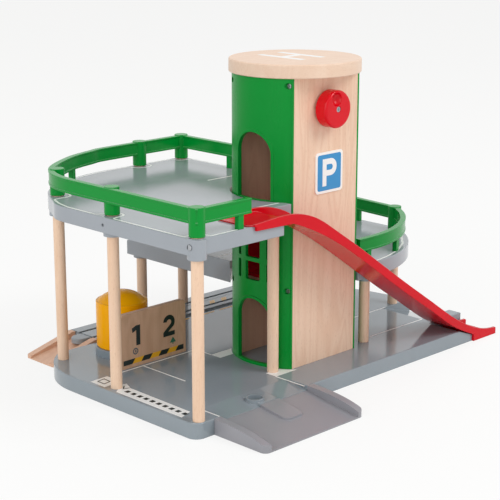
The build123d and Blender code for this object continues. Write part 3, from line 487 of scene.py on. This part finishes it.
@dataclass(frozen=True)
class Ink:
    """Screen printed ink: a thin, slightly uneven coat."""

    name: str
    colour: Colour
    thin: Colour
    thin_part: float = 0.6
    thin_range: Point = (0.50, 0.80)
    roughness: float = 0.34
    swing: float = 0.12
    skin: float = 0.00001
    cover: Layer = Layer(900.0, detail=3.0, rough=0.6)
    patch: Layer = Layer(60.0)

    def build(self) -> bpy.types.Material:
        """Makes the material.

        Returns:
            The ink.
        """
        g = Graph(bpy.data.materials.new(self.name))
        cover, patch = g.noise(self.cover), g.noise(self.patch)
        uneven = (cover * 0.5 + patch * 0.5).above(*self.thin_range)
        tone = g.mix(uneven * self.thin_part, self.colour, self.thin)
        return g.surface(Base_Color=tone, Roughness=cover.around(self.roughness, self.swing),
                         Normal=g.bump(cover, self.skin))


FINISHES = {
    "base_grey": Lacquer("base_lacquer", paint("939DA4"), paint("8B959C"), 0.12),
    "floor_grey": Lacquer("floor_lacquer", paint("A1A7AE"), paint("999FA6"), 0.15),
    "ramp_grey": Moulded("ramp_plastic", paint("9A9AA0"), paint("929298"), 0.30, gloss=0.4),
    "guide_grey": Moulded("guide_plastic", paint("98A0A6"), paint("90989E"), 0.30, gloss=0.4),
    "plinth_grey": Moulded("plinth_plastic", paint("8A969F"), paint("818D96"), 0.28, gloss=0.4),
    "ramp_wood": Beech("ramp_beech", Grain.ALONG_X, paint("EBC3A8"), paint("D8A88A"), shift=3.1),
    "wall_wood": Beech("wall_beech", Grain.ALONG_Z, paint("F0D0B6"), paint("E6BFA2"), figure=0.85,
                       shift=0.7),
    "back_wall_wood": Beech("back_wall_beech", Grain.ALONG_Z, paint("F2C6AC"), paint("DEAC92"),
                            shift=5.3),
    "roof_wood": Beech("roof_beech", Grain.ALONG_X, paint("F0D6C0"), paint("E4C2A8"), figure=0.25,
                       shift=8.2),
    # The board's beech is darker than the other woods: painted shade, for where it stands under the
    # deck.
    "board_wood": Beech("board_beech_painted_shade", Grain.ALONG_Z, paint("D8B092"), paint("BE9476"), shift=2.4),
    "pillar_wood": Beech("pillar_beech", Grain.ALONG_Z, paint("F8DABF"), paint("E9C2A3"),
                         figure=0.2, shift=4.4),
    "peg_wood": Beech("peg_beech", Grain.ALONG_Z, shift=6.6),
    # The bright edge tints of the green and red plastics are painted highlights on their upper edges,
    # strongest on the fence and the slide.
    "shell_green": Moulded("shell_plastic", paint("009435"), paint("008D31"), 0.28, gloss=0.16,
                           edge_highlight_tint=paint("30C060"), edge_wear_and_highlight=0.25),
    "fence_green": Moulded("fence_plastic", paint("009435"), paint("008C31"), 0.20, gloss=0.18,
                           edge_highlight_tint=paint("B8F0C8"), edge_wear_and_highlight=0.40, edge_radius=0.0010),
    "knob_red": Moulded("knob_plastic", paint("DC0018"), paint("D20016"), 0.14, gloss=0.25,
                        edge_highlight_tint=paint("FF9090"), edge_wear_and_highlight=0.15),
    "slide_red": Moulded("slide_plastic", paint("D8001A"), paint("CE0017"), 0.18, gloss=0.18,
                         edge_highlight_tint=paint("FFC8C8"), edge_wear_and_highlight=0.60, edge_radius=0.0011),
    "cabin_red": Moulded("cabin_plastic", paint("CC0018"), paint("C00014"), 0.28),
    "tank_yellow": Moulded("tank_plastic", paint("FFB600"), paint("FCAA00"), 0.24, gloss=0.15),
    "sign_blue": Ink("sign_border_ink", paint("FAF6F0"), paint("F0ECE6")),
    "shaft_steel": Steel("shaft_metal", paint("A9ADB2")),
    "screw_steel": Steel("screw_metal"),
    "bush_plastic": Moulded("bush_nylon", paint("DADAD6"), paint("CFCFCA"), 0.40),
    "drum_plastic": Moulded("drum_nylon", paint("DADAD6"), paint("CFCFCA"), 0.40),
    "shoe_plastic": Moulded("shoe_nylon", paint("4A4A4D"), paint("404043"), 0.45),
}

INKS = {
    "white": Ink("white_ink", paint("F4F4F2"), paint("E4E5E4")),
    "yellow": Ink("yellow_ink", paint("F2B43C"), paint("E2A230")),
    "stripe_yellow": Ink("stripe_yellow_ink", paint("EFB01E"), paint("D99A16")),
    "dark": Ink("dark_ink", paint("10201E"), paint("1C2C2A")),
    "blue": Ink("blue_ink", paint("2E8FCB"), paint("2A86C0")),
    "green": Ink("green_ink", paint("2F6B52"), paint("295E48")),
    "grey": Ink("grey_ink", paint("5A6166"), paint("50575C")),
}


# ----------------------------------------------------------------------------- printed shapes
def box(x0: float, y0: float, x1: float, y1: float) -> Shape:
    """A rectangle between two corners."""
    return [(x0, y0), (x1, y0), (x1, y1), (x0, y1)]


def slanted(x: float, rows: Point, length: float, lean: float) -> Shape:
    """A bar between two rows, whose far side is moved along by its lean."""
    low, high = rows
    return [(x, low), (x + length, low), (x + length + lean, high), (x + lean, high)]


def arc(centre: Point, radius: float, start: float, end: float, steps: int) -> Shape:
    """Points along an arc, with its angles in degrees."""
    turns = [math.radians(start + (end - start) * i / steps) for i in range(steps + 1)]
    return [(centre[0] + radius * math.cos(t), centre[1] + radius * math.sin(t)) for t in turns]


def hoop(centre: Point, inner: float, outer: float, start: float, end: float) -> Shape:
    """A bent band between two radii."""
    return arc(centre, outer, start, end, HOOP_STEPS) + arc(centre, inner, end, start, HOOP_STEPS)


def rounded_path(points: Sequence[Point], radius: float) -> Shape:
    """Rounds the corners of an open path.

    Args:
        points: Its corners in order.
        radius: How far from a corner the bend begins, at most.

    Returns:
        The points of the rounded path.
    """
    path = [points[0]]
    for before, at, after in zip(points, points[1:], points[2:]):
        corner = Vector(at)
        back, on = Vector(before) - corner, Vector(after) - corner
        cut = min(radius, back.length / 2, on.length / 2)
        start, end = corner + back.normalized() * cut, corner + on.normalized() * cut
        for i in range(BEND_STEPS + 1):
            t = i / BEND_STEPS
            path.append(tuple(start.lerp(corner, t).lerp(corner.lerp(end, t), t)))
    return path + [points[-1]]


def band(points: Sequence[Point], width: float) -> Shape:
    """A line of even width along an open path, with mitred corners.

    Args:
        points: The middle line.
        width: The line's width.

    Returns:
        Its outline.
    """
    sides: tuple[Shape, Shape] = ([], [])
    last = len(points) - 1
    for i, at in enumerate(points):
        runs = [Vector(points[k + 1]) - Vector(points[k]) for k in (i - 1, i) if 0 <= k < last]
        runs = [run.normalized() for run in runs]
        along = sum(runs, Vector((0.0, 0.0))).normalized()
        reach = width / 2 / max(along.dot(runs[0]), MITRE_LIMIT)
        across = Vector((-along.y, along.x)) * reach
        sides[0].append(tuple(Vector(at) + across))
        sides[1].append(tuple(Vector(at) - across))
    return sides[0] + sides[1][::-1]


def add_object(name: str, data: bpy.types.ID) -> bpy.types.Object:
    """Adds an object to the scene.

    Args:
        name: Its name.
        data: Its mesh, lamp or camera.

    Returns:
        The new object.
    """
    made = bpy.data.objects.new(name, data)
    bpy.context.scene.collection.objects.link(made)
    return made


def aim(thing: bpy.types.Object, place: Triple, direction: Sequence[float]) -> None:
    """Places a lamp or camera and turns it.

    Args:
        thing: The lamp or camera.
        place: Where it stands.
        direction: Which way it looks.
    """
    thing.location = place
    thing.rotation_mode = "QUATERNION"
    thing.rotation_quaternion = Vector(direction).to_track_quat("-Z", "Y")


@dataclass(frozen=True)
class Face:
    """A flat face of the object that takes a print."""

    origin: Triple
    across: Triple = (1.0, 0.0, 0.0)
    up: Triple = (0.0, 1.0, 0.0)

    def at(self, point: Point, lift: float) -> Vector:
        """Place of a printed point.

        Args:
            point: Where it is on the face, in millimetres.
            lift: How far it stands off the face, in millimetres.

        Returns:
            The place, in metres.
        """
        across, up = Vector(self.across), Vector(self.up)
        place = Vector(self.origin) + across * point[0] + up * point[1]
        return (place + across.cross(up) * lift) * MM


@dataclass(frozen=True)
class Print:
    """One printed piece: flat shapes with the thickness of a coat of ink.

    Attributes:
        sink: How far it reaches into the face, in millimetres.
        rise: How far it stands above the face, in millimetres.
    """

    name: str
    face: Face
    ink: str
    shapes: list[Shape]
    slot: str
    body: str = "garage"
    sink: float = 0.02
    rise: float = 0.07

    def build(self, inks: dict[str, bpy.types.Material]) -> bpy.types.Object:
        """Makes the printed piece and lets it ride on its body.

        Args:
            inks: The ink materials by name.

        Returns:
            The new object.
        """
        mesh = bpy.data.meshes.new(self.name)
        work = bmesh.new()
        for shape in self.shapes:
            self.add_shape(work, shape)
        bmesh.ops.recalc_face_normals(work, faces=work.faces)
        work.to_mesh(mesh)
        work.free()
        mesh.materials.append(inks[self.ink])
        piece = add_object(self.name, mesh)
        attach(piece, self.body)
        return piece

    def add_shape(self, work: bmesh.types.BMesh, shape: Shape) -> None:
        """Adds one flat shape as a thin closed solid.

        Args:
            work: The mesh it is added to.
            shape: Its outline on the face.
        """
        low = [work.verts.new(self.face.at(p, -self.sink)) for p in shape]
        high = [work.verts.new(self.face.at(p, self.rise)) for p in shape]
        work.faces.new(high)
        work.faces.new(low[::-1])
        for i in range(len(shape)):
            k = (i + 1) % len(shape)
            work.faces.new((low[i], low[k], high[k], high[i]))


# ----------------------------------------------------------------------------- printed groups
@dataclass(frozen=True)
class BasePrints:
    """Road marks, bay lines and the barrier strip on the base board.

    Attributes:
        lines: Middle lines of the bays, of the two sides of the lane and of the slide's bay.
        pad_*: The stop marks beside the lift door.
        strip, square: Outlines of the white barrier strip and of the square beside it.
        tick_*: The dark squares on the strip.
        symbol, arrow: Middle lines of the dark marks on the square and on the strip's end.
    """

    top: float = 15.0
    line: float = 1.7
    lines: tuple[Path, ...] = (
        ((-168.0, 67.3), (-71.0, 67.3), (-71.0, 45.0)),
        ((-141.0, 66.3), (-141.0, 6.0)),
        ((-71.0, -45.0), (-71.0, -83.0)),
        ((-180.8, -60.0), (-180.8, -83.0)),
        ((68.0, 27.4), (178.0, 27.4)),
        ((80.0, -28.8), (172.0, -28.8)),
    )
    tower_radius: float = 62.0
    pad_x: float = -71.0
    pad_near: float = 31.5
    pad_far: float = 45.0
    pad_steps: int = 5
    pad_drop: float = 0.7
    strip: Path = ((-206.3, -61.5), (-191.6, -56.5), (-190.4, 27.0), (-185.0, 39.5),
                   (-190.0, 41.0), (-206.3, 29.0))
    square: Path = ((-206.0, 67.5), (-206.0, 46.5), (-185.5, 48.0), (-185.0, 68.5))
    tick_x: float = -198.4
    tick_ends: Point = (22.0, -57.0)
    tick_size: float = 4.8
    ticks: int = 10
    symbol: Path = ((-200.5, 63.5), (-192.0, 64.5), (-192.5, 55.0), (-200.5, 53.5), (-200.5, 63.5))
    symbol_line: float = 1.4
    arrow: Path = ((-190.5, 36.5), (-196.5, 30.5), (-190.0, 28.5))
    arrow_line: float = 1.2
    second_coat: float = 0.12

    def prints(self) -> list[Print]:
        """Draws what is printed on the base.

        Returns:
            The printed pieces.
        """
        face = Face((0.0, 0.0, self.top))
        lines = [band(path, self.line) for path in self.lines]
        pads = [self.pad(1.0), self.pad(-1.0)]
        strip = [list(self.strip), list(self.square)]
        return [Print("lane_and_bay_lines", face, "white", lines, "base_grey"),
                Print("tower_stop_marks", face, "white", pads, "base_grey"),
                Print("barrier_strip", face, "white", strip, "base_grey"),
                Print("barrier_ticks", face, "dark", self.tick_marks(), "base_grey",
                      rise=self.second_coat)]

    def pad(self, side: float) -> Shape:
        """A stop mark beside the lift door, cut round by the tower.

        Args:
            side: 1 for the one behind the door, -1 for the one before it.

        Returns:
            Its outline.
        """
        turns = [180.0 - math.degrees(math.asin(y / self.tower_radius))
                 for y in (self.pad_far, self.pad_near)]
        tower = arc((0.0, 0.0), self.tower_radius, *turns, self.pad_steps)
        drop = self.pad_drop if side < 0 else 0.0
        outline = [(self.pad_x, self.pad_near), (self.pad_x, self.pad_far)] + tower
        return [(x, side * y - drop) for x, y in outline]

    def tick_marks(self) -> list[Shape]:
        """Dark squares along the strip, and the marks beside them.

        Returns:
            Their outlines.
        """
        first, final = self.tick_ends
        half = self.tick_size / 2
        marks = []
        for i in range(self.ticks):
            y = first - i * (first - final) / (self.ticks - 1)
            marks.append(box(self.tick_x - half, y - half, self.tick_x + half, y + half))
        return marks + [band(self.symbol, self.symbol_line), band(self.arrow, self.arrow_line)]


@dataclass(frozen=True)
class TrackPrints:
    """Yellow marks and sleepers printed along the train track.

    Attributes:
        ends: Where the track begins and ends.
        edges: Rows of the dashed lines beside the track.
        dash_part: How much of a dash's place it fills.
        blocks: Where the slanted blocks between the rails begin.
        sleeper_rows: The sides of the two rows of sleepers.
    """

    base_top: float = 15.0
    rail_top: float = 17.0
    ends: Point = (-108.0, 112.0)
    edges: Point = (150.4, 206.0)
    edge_coat: float = 0.1
    dashes: int = 6
    dash_part: float = 0.78
    dash_width: float = 2.8
    dash_lean: float = 4.0
    blocks: tuple[float, ...] = (-92.0, -75.0, -26.0, -8.0, 44.0, 62.0, 96.0)
    block_rows: Point = (169.4, 177.4)
    block_long: float = 7.5
    block_lean: float = 6.5
    sleepers: int = 52
    sleeper_rows: tuple[Point, Point] = ((160.6, 164.6), (180.2, 184.6))
    sleeper_start: float = 2.0
    sleeper_pitch: float = 4.0
    sleeper_width: float = 1.1

    def prints(self) -> list[Print]:
        """Draws what is printed along the track.

        Returns:
            The printed pieces.
        """
        low, high = Face((0.0, 0.0, self.base_top)), Face((0.0, 0.0, self.rail_top))
        start, end = self.ends
        step, half = (end - start) / self.dashes, self.dash_width / 2
        dashes = [slanted(start + i * step, (y - half, y + half), step * self.dash_part,
                          self.dash_lean)
                  for y in self.edges for i in range(self.dashes)]
        blocks = [slanted(x, self.block_rows, self.block_long, self.block_lean)
                  for x in self.blocks]
        first = start + self.sleeper_start
        places = [first + i * self.sleeper_pitch for i in range(self.sleepers)]
        sleepers = [box(x, near, x + self.sleeper_width, far)
                    for near, far in self.sleeper_rows for x in places]
        return [Print("track_edge_lines", low, "yellow", dashes, "base_grey", rise=self.edge_coat),
                Print("track_blocks", high, "yellow", blocks, "base_grey"),
                Print("track_sleepers", high, "grey", sleepers, "base_grey")]


@dataclass(frozen=True)
class FloorPrints:
    """White lines along the edges of the two raised floors.

    Attributes:
        deck_edge: The line round the top floor, which bends in round each pillar.
        deck_lines: The short lines of the top floor.
        bay_lines: The lines of the middle floor.
    """

    top: float = 180.5
    middle: float = 100.0
    line: float = 2.2
    bend: float = 3.5
    deck_edge: Path = (
        (-147.0, -81.6), (-188.5, -81.6), (-190.0, -71.5), (-197.5, -67.5), (-207.2, -68.5),
        (-207.2, 26.5), (-191.0, 29.5), (-188.8, 38.0), (-191.0, 46.5), (-207.2, 50.0),
        (-207.2, 92.0), (-203.5, 110.0), (-196.5, 127.5), (-176.0, 127.5), (-171.5, 137.0),
        (-172.5, 148.0), (-179.0, 155.0), (-156.5, 176.8), (-121.3, 192.6), (-88.0, 199.3),
        (-60.0, 200.6), (-43.0, 200.6), (-41.0, 189.0), (-31.0, 185.5), (-21.0, 189.0),
        (-19.0, 200.6), (16.5, 200.6), (18.5, 189.0), (33.0, 186.0), (33.0, 68.0))
    deck_lines: tuple[Path, ...] = (((-97.0, -31.5), (-56.0, -33.6)), ((-32.0, 89.8), (23.0, 87.8)))
    bay_lines: tuple[Path, ...] = (
        ((-36.0, 85.0), (22.0, 85.0)),
        ((70.0, -39.4), (86.0, -38.9), (105.0, -35.4), (130.0, -27.4), (156.0, -12.4),
         (177.0, 6.5), (187.0, 20.0)),
    )

    def prints(self) -> list[Print]:
        """Draws what is printed on the floors.

        Returns:
            The printed pieces.
        """
        upper, lower = Face((0.0, 0.0, self.top)), Face((0.0, 0.0, self.middle))
        deck = [band(path, self.line)
                for path in (rounded_path(self.deck_edge, self.bend), *self.deck_lines)]
        bays = [band(path, self.line) for path in self.bay_lines]
        return [Print("top_floor_lines", upper, "white", deck, "floor_grey"),
                Print("middle_floor_lines", lower, "white", bays, "floor_grey")]


@dataclass(frozen=True)
class TowerPrints:
    """The landing mark on the roof and the parking sign on the front wall.

    Attributes:
        roof: The middle of the landing mark on the top of the roof.
        landing_*: Half the width and the height of the landing mark, and the width of its bars.
        sign: The middle of the sign's front.
        panel: Width and height of the sign's blue panel.
        letter_*: The letter's left, low, right and high sides, its bars and its round part.
        letter_foot, letter_coat: How far off the sign the letter begins and ends.
    """

    roof: Triple = (3.0, 8.0, 310.0)
    landing_half: float = 17.5
    landing_tall: float = 29.0
    landing_bar: float = 7.5
    sign: Triple = (4.0, -42.7, 203.2)
    panel: Point = (33.0, 35.0)
    panel_corner: float = 2.4
    panel_steps: int = 6
    letter_sides: tuple[float, float, float, float] = (-9.6, -13.2, 10.2, 13.2)
    letter_bar: float = 5.5
    letter_bowl: float = 8.3
    letter_foot: float = 0.03
    letter_coat: float = 0.14

    def prints(self) -> list[Print]:
        """Draws what is printed on the tower.

        Returns:
            The printed pieces.
        """
        roof, sign = Face(self.roof), Face(self.sign, up=(0.0, 0.0, 1.0))
        return [Print("landing_mark", roof, "white", self.landing(), "roof_wood"),
                Print("sign_panel", sign, "blue", [self.blue()], "sign_blue"),
                Print("sign_letter", sign, "white", self.letter(), "sign_blue",
                      sink=-self.letter_foot, rise=self.letter_coat)]

    def landing(self) -> list[Shape]:
        """An H for helicopters.

        Returns:
            Its three bars.
        """
        half, bar, tall = self.landing_half, self.landing_bar, self.landing_tall
        return [box(-half, -tall, -half + bar, tall), box(half - bar, -tall, half, tall),
                box(-half + bar, -bar / 2, half - bar, bar / 2)]

    def blue(self) -> Shape:
        """The sign's blue panel with rounded corners.

        Returns:
            Its outline.
        """
        w, h = self.panel[0] / 2 - self.panel_corner, self.panel[1] / 2 - self.panel_corner
        outline = []
        for x, y, turn in ((w, h, 0.0), (-w, h, 90.0), (-w, -h, 180.0), (w, -h, 270.0)):
            outline += arc((x, y), self.panel_corner, turn, turn + 90.0, self.panel_steps)
        return outline

    def letter(self) -> list[Shape]:
        """A plain parking P.

        Returns:
            Its three bars and its round part.
        """
        left, low, right, high = self.letter_sides
        bar, bowl = self.letter_bar, self.letter_bowl
        turn = right - bowl
        return [box(left, low, left + bar, high),
                box(left + bar, high - bar, turn, high),
                box(left + bar, high - 2 * bowl, turn, high - 2 * bowl + bar),
                hoop((turn, high - bowl), bowl - bar, bowl, -90.0, 90.0)]


@dataclass(frozen=True)
class BoardPrints:
    """Numbers, small signs and a hazard stripe on the number board.

    Attributes:
        one, two, badge, tree: The shapes of the numbers and of the small signs.
        stripe_x, stripe_z: The sides and the rows of the hazard stripe.
        blocks: How many blocks the stripe has.
        slant: How far the blocks lean.
    """

    front: float = 71.0
    one: tuple[Shape, ...] = (
        box(-145.9, 36.2, -140.8, 56.6),
        [(-145.9, 56.6), (-151.2, 54.4), (-150.6, 49.8), (-145.9, 51.8)])
    two: tuple[Shape, ...] = (
        hoop((-103.5, 50.4), 3.0, 7.6, 172.0, -38.0),
        [(-101.1, 48.5), (-111.0, 40.8), (-104.6, 40.8), (-97.5, 45.7)],
        box(-111.0, 36.3, -96.0, 40.8))
    badge: tuple[Shape, ...] = (
        hoop((-147.0, 30.6), 2.1, 3.4, 0.0, 359.0),
        box(-147.6, 29.2, -146.0, 32.0))
    tree: tuple[Shape, ...] = (
        [(-102.6, 28.6), (-94.6, 28.6), (-98.6, 34.6)],
        box(-99.2, 26.8, -98.0, 28.6))
    stripe_x: Point = (-162.5, -84.5)
    stripe_z: Point = (18.6, 23.6)
    blocks: int = 7
    slant: float = 4.0

    def prints(self) -> list[Print]:
        """Draws what is printed on the board.

        Returns:
            The printed pieces.
        """
        face = Face((0.0, self.front, 0.0), up=(0.0, 0.0, 1.0))
        dark, yellow = self.stripe()
        return [Print("board_numbers", face, "dark", [*self.one, *self.two], "board_wood"),
                Print("board_badge", face, "grey", list(self.badge), "board_wood"),
                Print("board_tree", face, "green", list(self.tree), "board_wood"),
                Print("board_stripe_dark", face, "dark", dark, "board_wood"),
                Print("board_stripe_yellow", face, "stripe_yellow", yellow, "board_wood")]

    def stripe(self) -> tuple[list[Shape], list[Shape]]:
        """Slanted blocks of the hazard stripe, with the outer ends upright.

        Returns:
            The dark blocks and the yellow ones, which follow in turn.
        """
        low, high = self.stripe_z
        step = (self.stripe_x[1] - self.stripe_x[0]) / self.blocks
        kinds: tuple[list[Shape], list[Shape]] = ([], [])
        for i in range(self.blocks):
            left, right = self.stripe_x[0] + i * step, self.stripe_x[0] + (i + 1) * step
            first = 0.0 if i == 0 else self.slant
            final = 0.0 if i == self.blocks - 1 else self.slant
            kinds[i % 2].append([(left, low), (right, low), (right + final, high),
                                 (left + first, high)])
        return kinds


# ----------------------------------------------------------------------------- stage, lamps, camera
@dataclass(frozen=True)
class Lamp:
    """A soft square lamp."""

    name: str
    place: Triple
    size: float
    power: float


@dataclass(frozen=True)
class Studio:
    """Pale floor, white surroundings, soft lamps and the camera.

    Attributes:
        eye, looks: Where the camera stands and which way it looks.
        clip: The nearest and the farthest that it sees.
        target: Where the lamps look.
        surround: How bright the surroundings are as a light.
        floor_glow: How white the floor is where it is seen or mirrored.
        floor_drop: How far the floor lies below the object.
    """

    eye: Triple = (-0.9788, -0.9287, 0.4695)
    looks: Triple = (0.6804, 0.6883, -0.2519)
    lens: float = 100.99
    sensor: float = 36.0
    clip: Point = (0.05, 50.0)
    target: Triple = (0.0, 0.0, 0.12)
    lamps: tuple[Lamp, ...] = (
        Lamp("key_lamp", (0.9, -1.7, 1.9), 1.1, 22.5),
        Lamp("fill_lamp", (-2.1, -0.5, 1.1), 1.8, 17.5),
        Lamp("top_lamp", (0.2, 0.7, 2.4), 1.6, 6.0),
    )
    surround: float = 0.60
    floor_half: float = 6.0
    floor_drop: float = 0.0002
    floor_glow: float = 0.80
    paper: Colour = (0.90, 0.90, 0.89)
    paper_shade: Colour = (0.87, 0.87, 0.86)
    paper_part: float = 0.3
    fibre: Layer = Layer(300.0)
    white: tuple[float, ...] = (1.0, 1.0, 1.0, 1.0)
    warm_white: tuple[float, ...] = (1.0, 1.0, 0.995, 1.0)

    def camera(self) -> None:
        """Sets up the camera."""
        data = bpy.data.cameras.new("camera")
        data.lens = self.lens
        data.sensor_width = self.sensor
        data.clip_start, data.clip_end = self.clip
        camera = add_object("camera", data)
        aim(camera, self.eye, self.looks)
        bpy.context.scene.camera = camera

    def world(self) -> None:
        """White surroundings for what is seen or mirrored, softer ones for lighting."""
        g = Graph(bpy.data.worlds.new("surroundings"))
        seen = g.math("MAXIMUM", g.ray("Is Camera Ray"), g.ray("Is Transmission Ray"))
        shown = g.math("MAXIMUM", seen, g.ray("Is Glossy Ray"))
        level = g.node("ShaderNodeMapRange", None,
                       {"Value": shown, "To Min": self.surround, "To Max": 1.0})
        sky = g.node("ShaderNodeBackground", None, {"Color": self.white, "Strength": level})
        g.node("ShaderNodeOutputWorld", None, {"Surface": sky})
        bpy.context.scene.world = g.owner

    def lights(self) -> None:
        """Soft square lamps that all look at the object."""
        for lamp in self.lamps:
            data = bpy.data.lights.new(lamp.name, "AREA")
            data.size = lamp.size
            data.energy = lamp.power
            aim(add_object(lamp.name, data), lamp.place, Vector(self.target) - Vector(lamp.place))

    def floor_paper(self) -> bpy.types.Material:
        """Makes the floor's material, which stays white where it is seen or mirrored.

        Returns:
            The material.
        """
        g = Graph(bpy.data.materials.new("floor_paper"))
        shown = g.math("MAXIMUM", g.ray("Is Camera Ray"), g.ray("Is Glossy Ray"))
        tone = g.mix(g.noise(self.fibre) * self.paper_part, self.paper, self.paper_shade)
        matte = g.node("ShaderNodeBsdfDiffuse", None, {"Color": tone})
        glow = g.node("ShaderNodeEmission", None, {"Color": self.warm_white})
        both = g.node("ShaderNodeMixShader", None,
                      {0: shown * self.floor_glow, 1: matte, 2: glow})
        g.node("ShaderNodeOutputMaterial", None, {"Surface": both})
        return g.owner

    def floor(self) -> None:
        """A pale floor that keeps the object's shadow."""
        mesh = bpy.data.meshes.new("floor")
        h = self.floor_half
        mesh.from_pydata([(-h, -h, 0), (h, -h, 0), (h, h, 0), (-h, h, 0)], [], [(0, 1, 2, 3)])
        mesh.materials.append(self.floor_paper())
        plane = add_object("floor", mesh)
        plane.location.z = -self.floor_drop

    def build(self) -> None:
        """Sets up everything round the object."""
        self.camera()
        self.world()
        self.lights()
        self.floor()
        bpy.context.scene.view_settings.view_transform = "Standard"


@dataclass
class Garage:
    """The object: its dressed construction and its prints."""

    nodes: dict[str, bpy.types.Object]
    record: dict

    def dress(self) -> None:
        """Gives every node of the construction the finish of its slot."""
        made = {slot: finish.build() for slot, finish in FINISHES.items()}
        for part in self.record["subparts"]:
            name, slot = part["node"], part["material_slot"]
            piece = self.nodes[name]
            for place in piece.material_slots:
                place.material = made[slot]
            log.info("dressed %s in %s", name, slot)

    def print_marks(self) -> None:
        """Adds all printed pieces."""
        inks = {name: ink.build() for name, ink in INKS.items()}
        groups = (BasePrints(), TrackPrints(), FloorPrints(), TowerPrints(), BoardPrints())
        for group in groups:
            for mark in group.prints():
                mark.build(inks)
                log.info("printed %s", mark.name)


def main() -> None:
    """Builds the scene."""
    logging.basicConfig(level=logging.INFO, format="%(name)s: %(message)s")
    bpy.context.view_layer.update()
    Studio().build()
    garage = Garage(frame["nodes"], frame["record"])
    garage.dress()
    garage.print_marks()


if __name__ == "__main__":
    main()
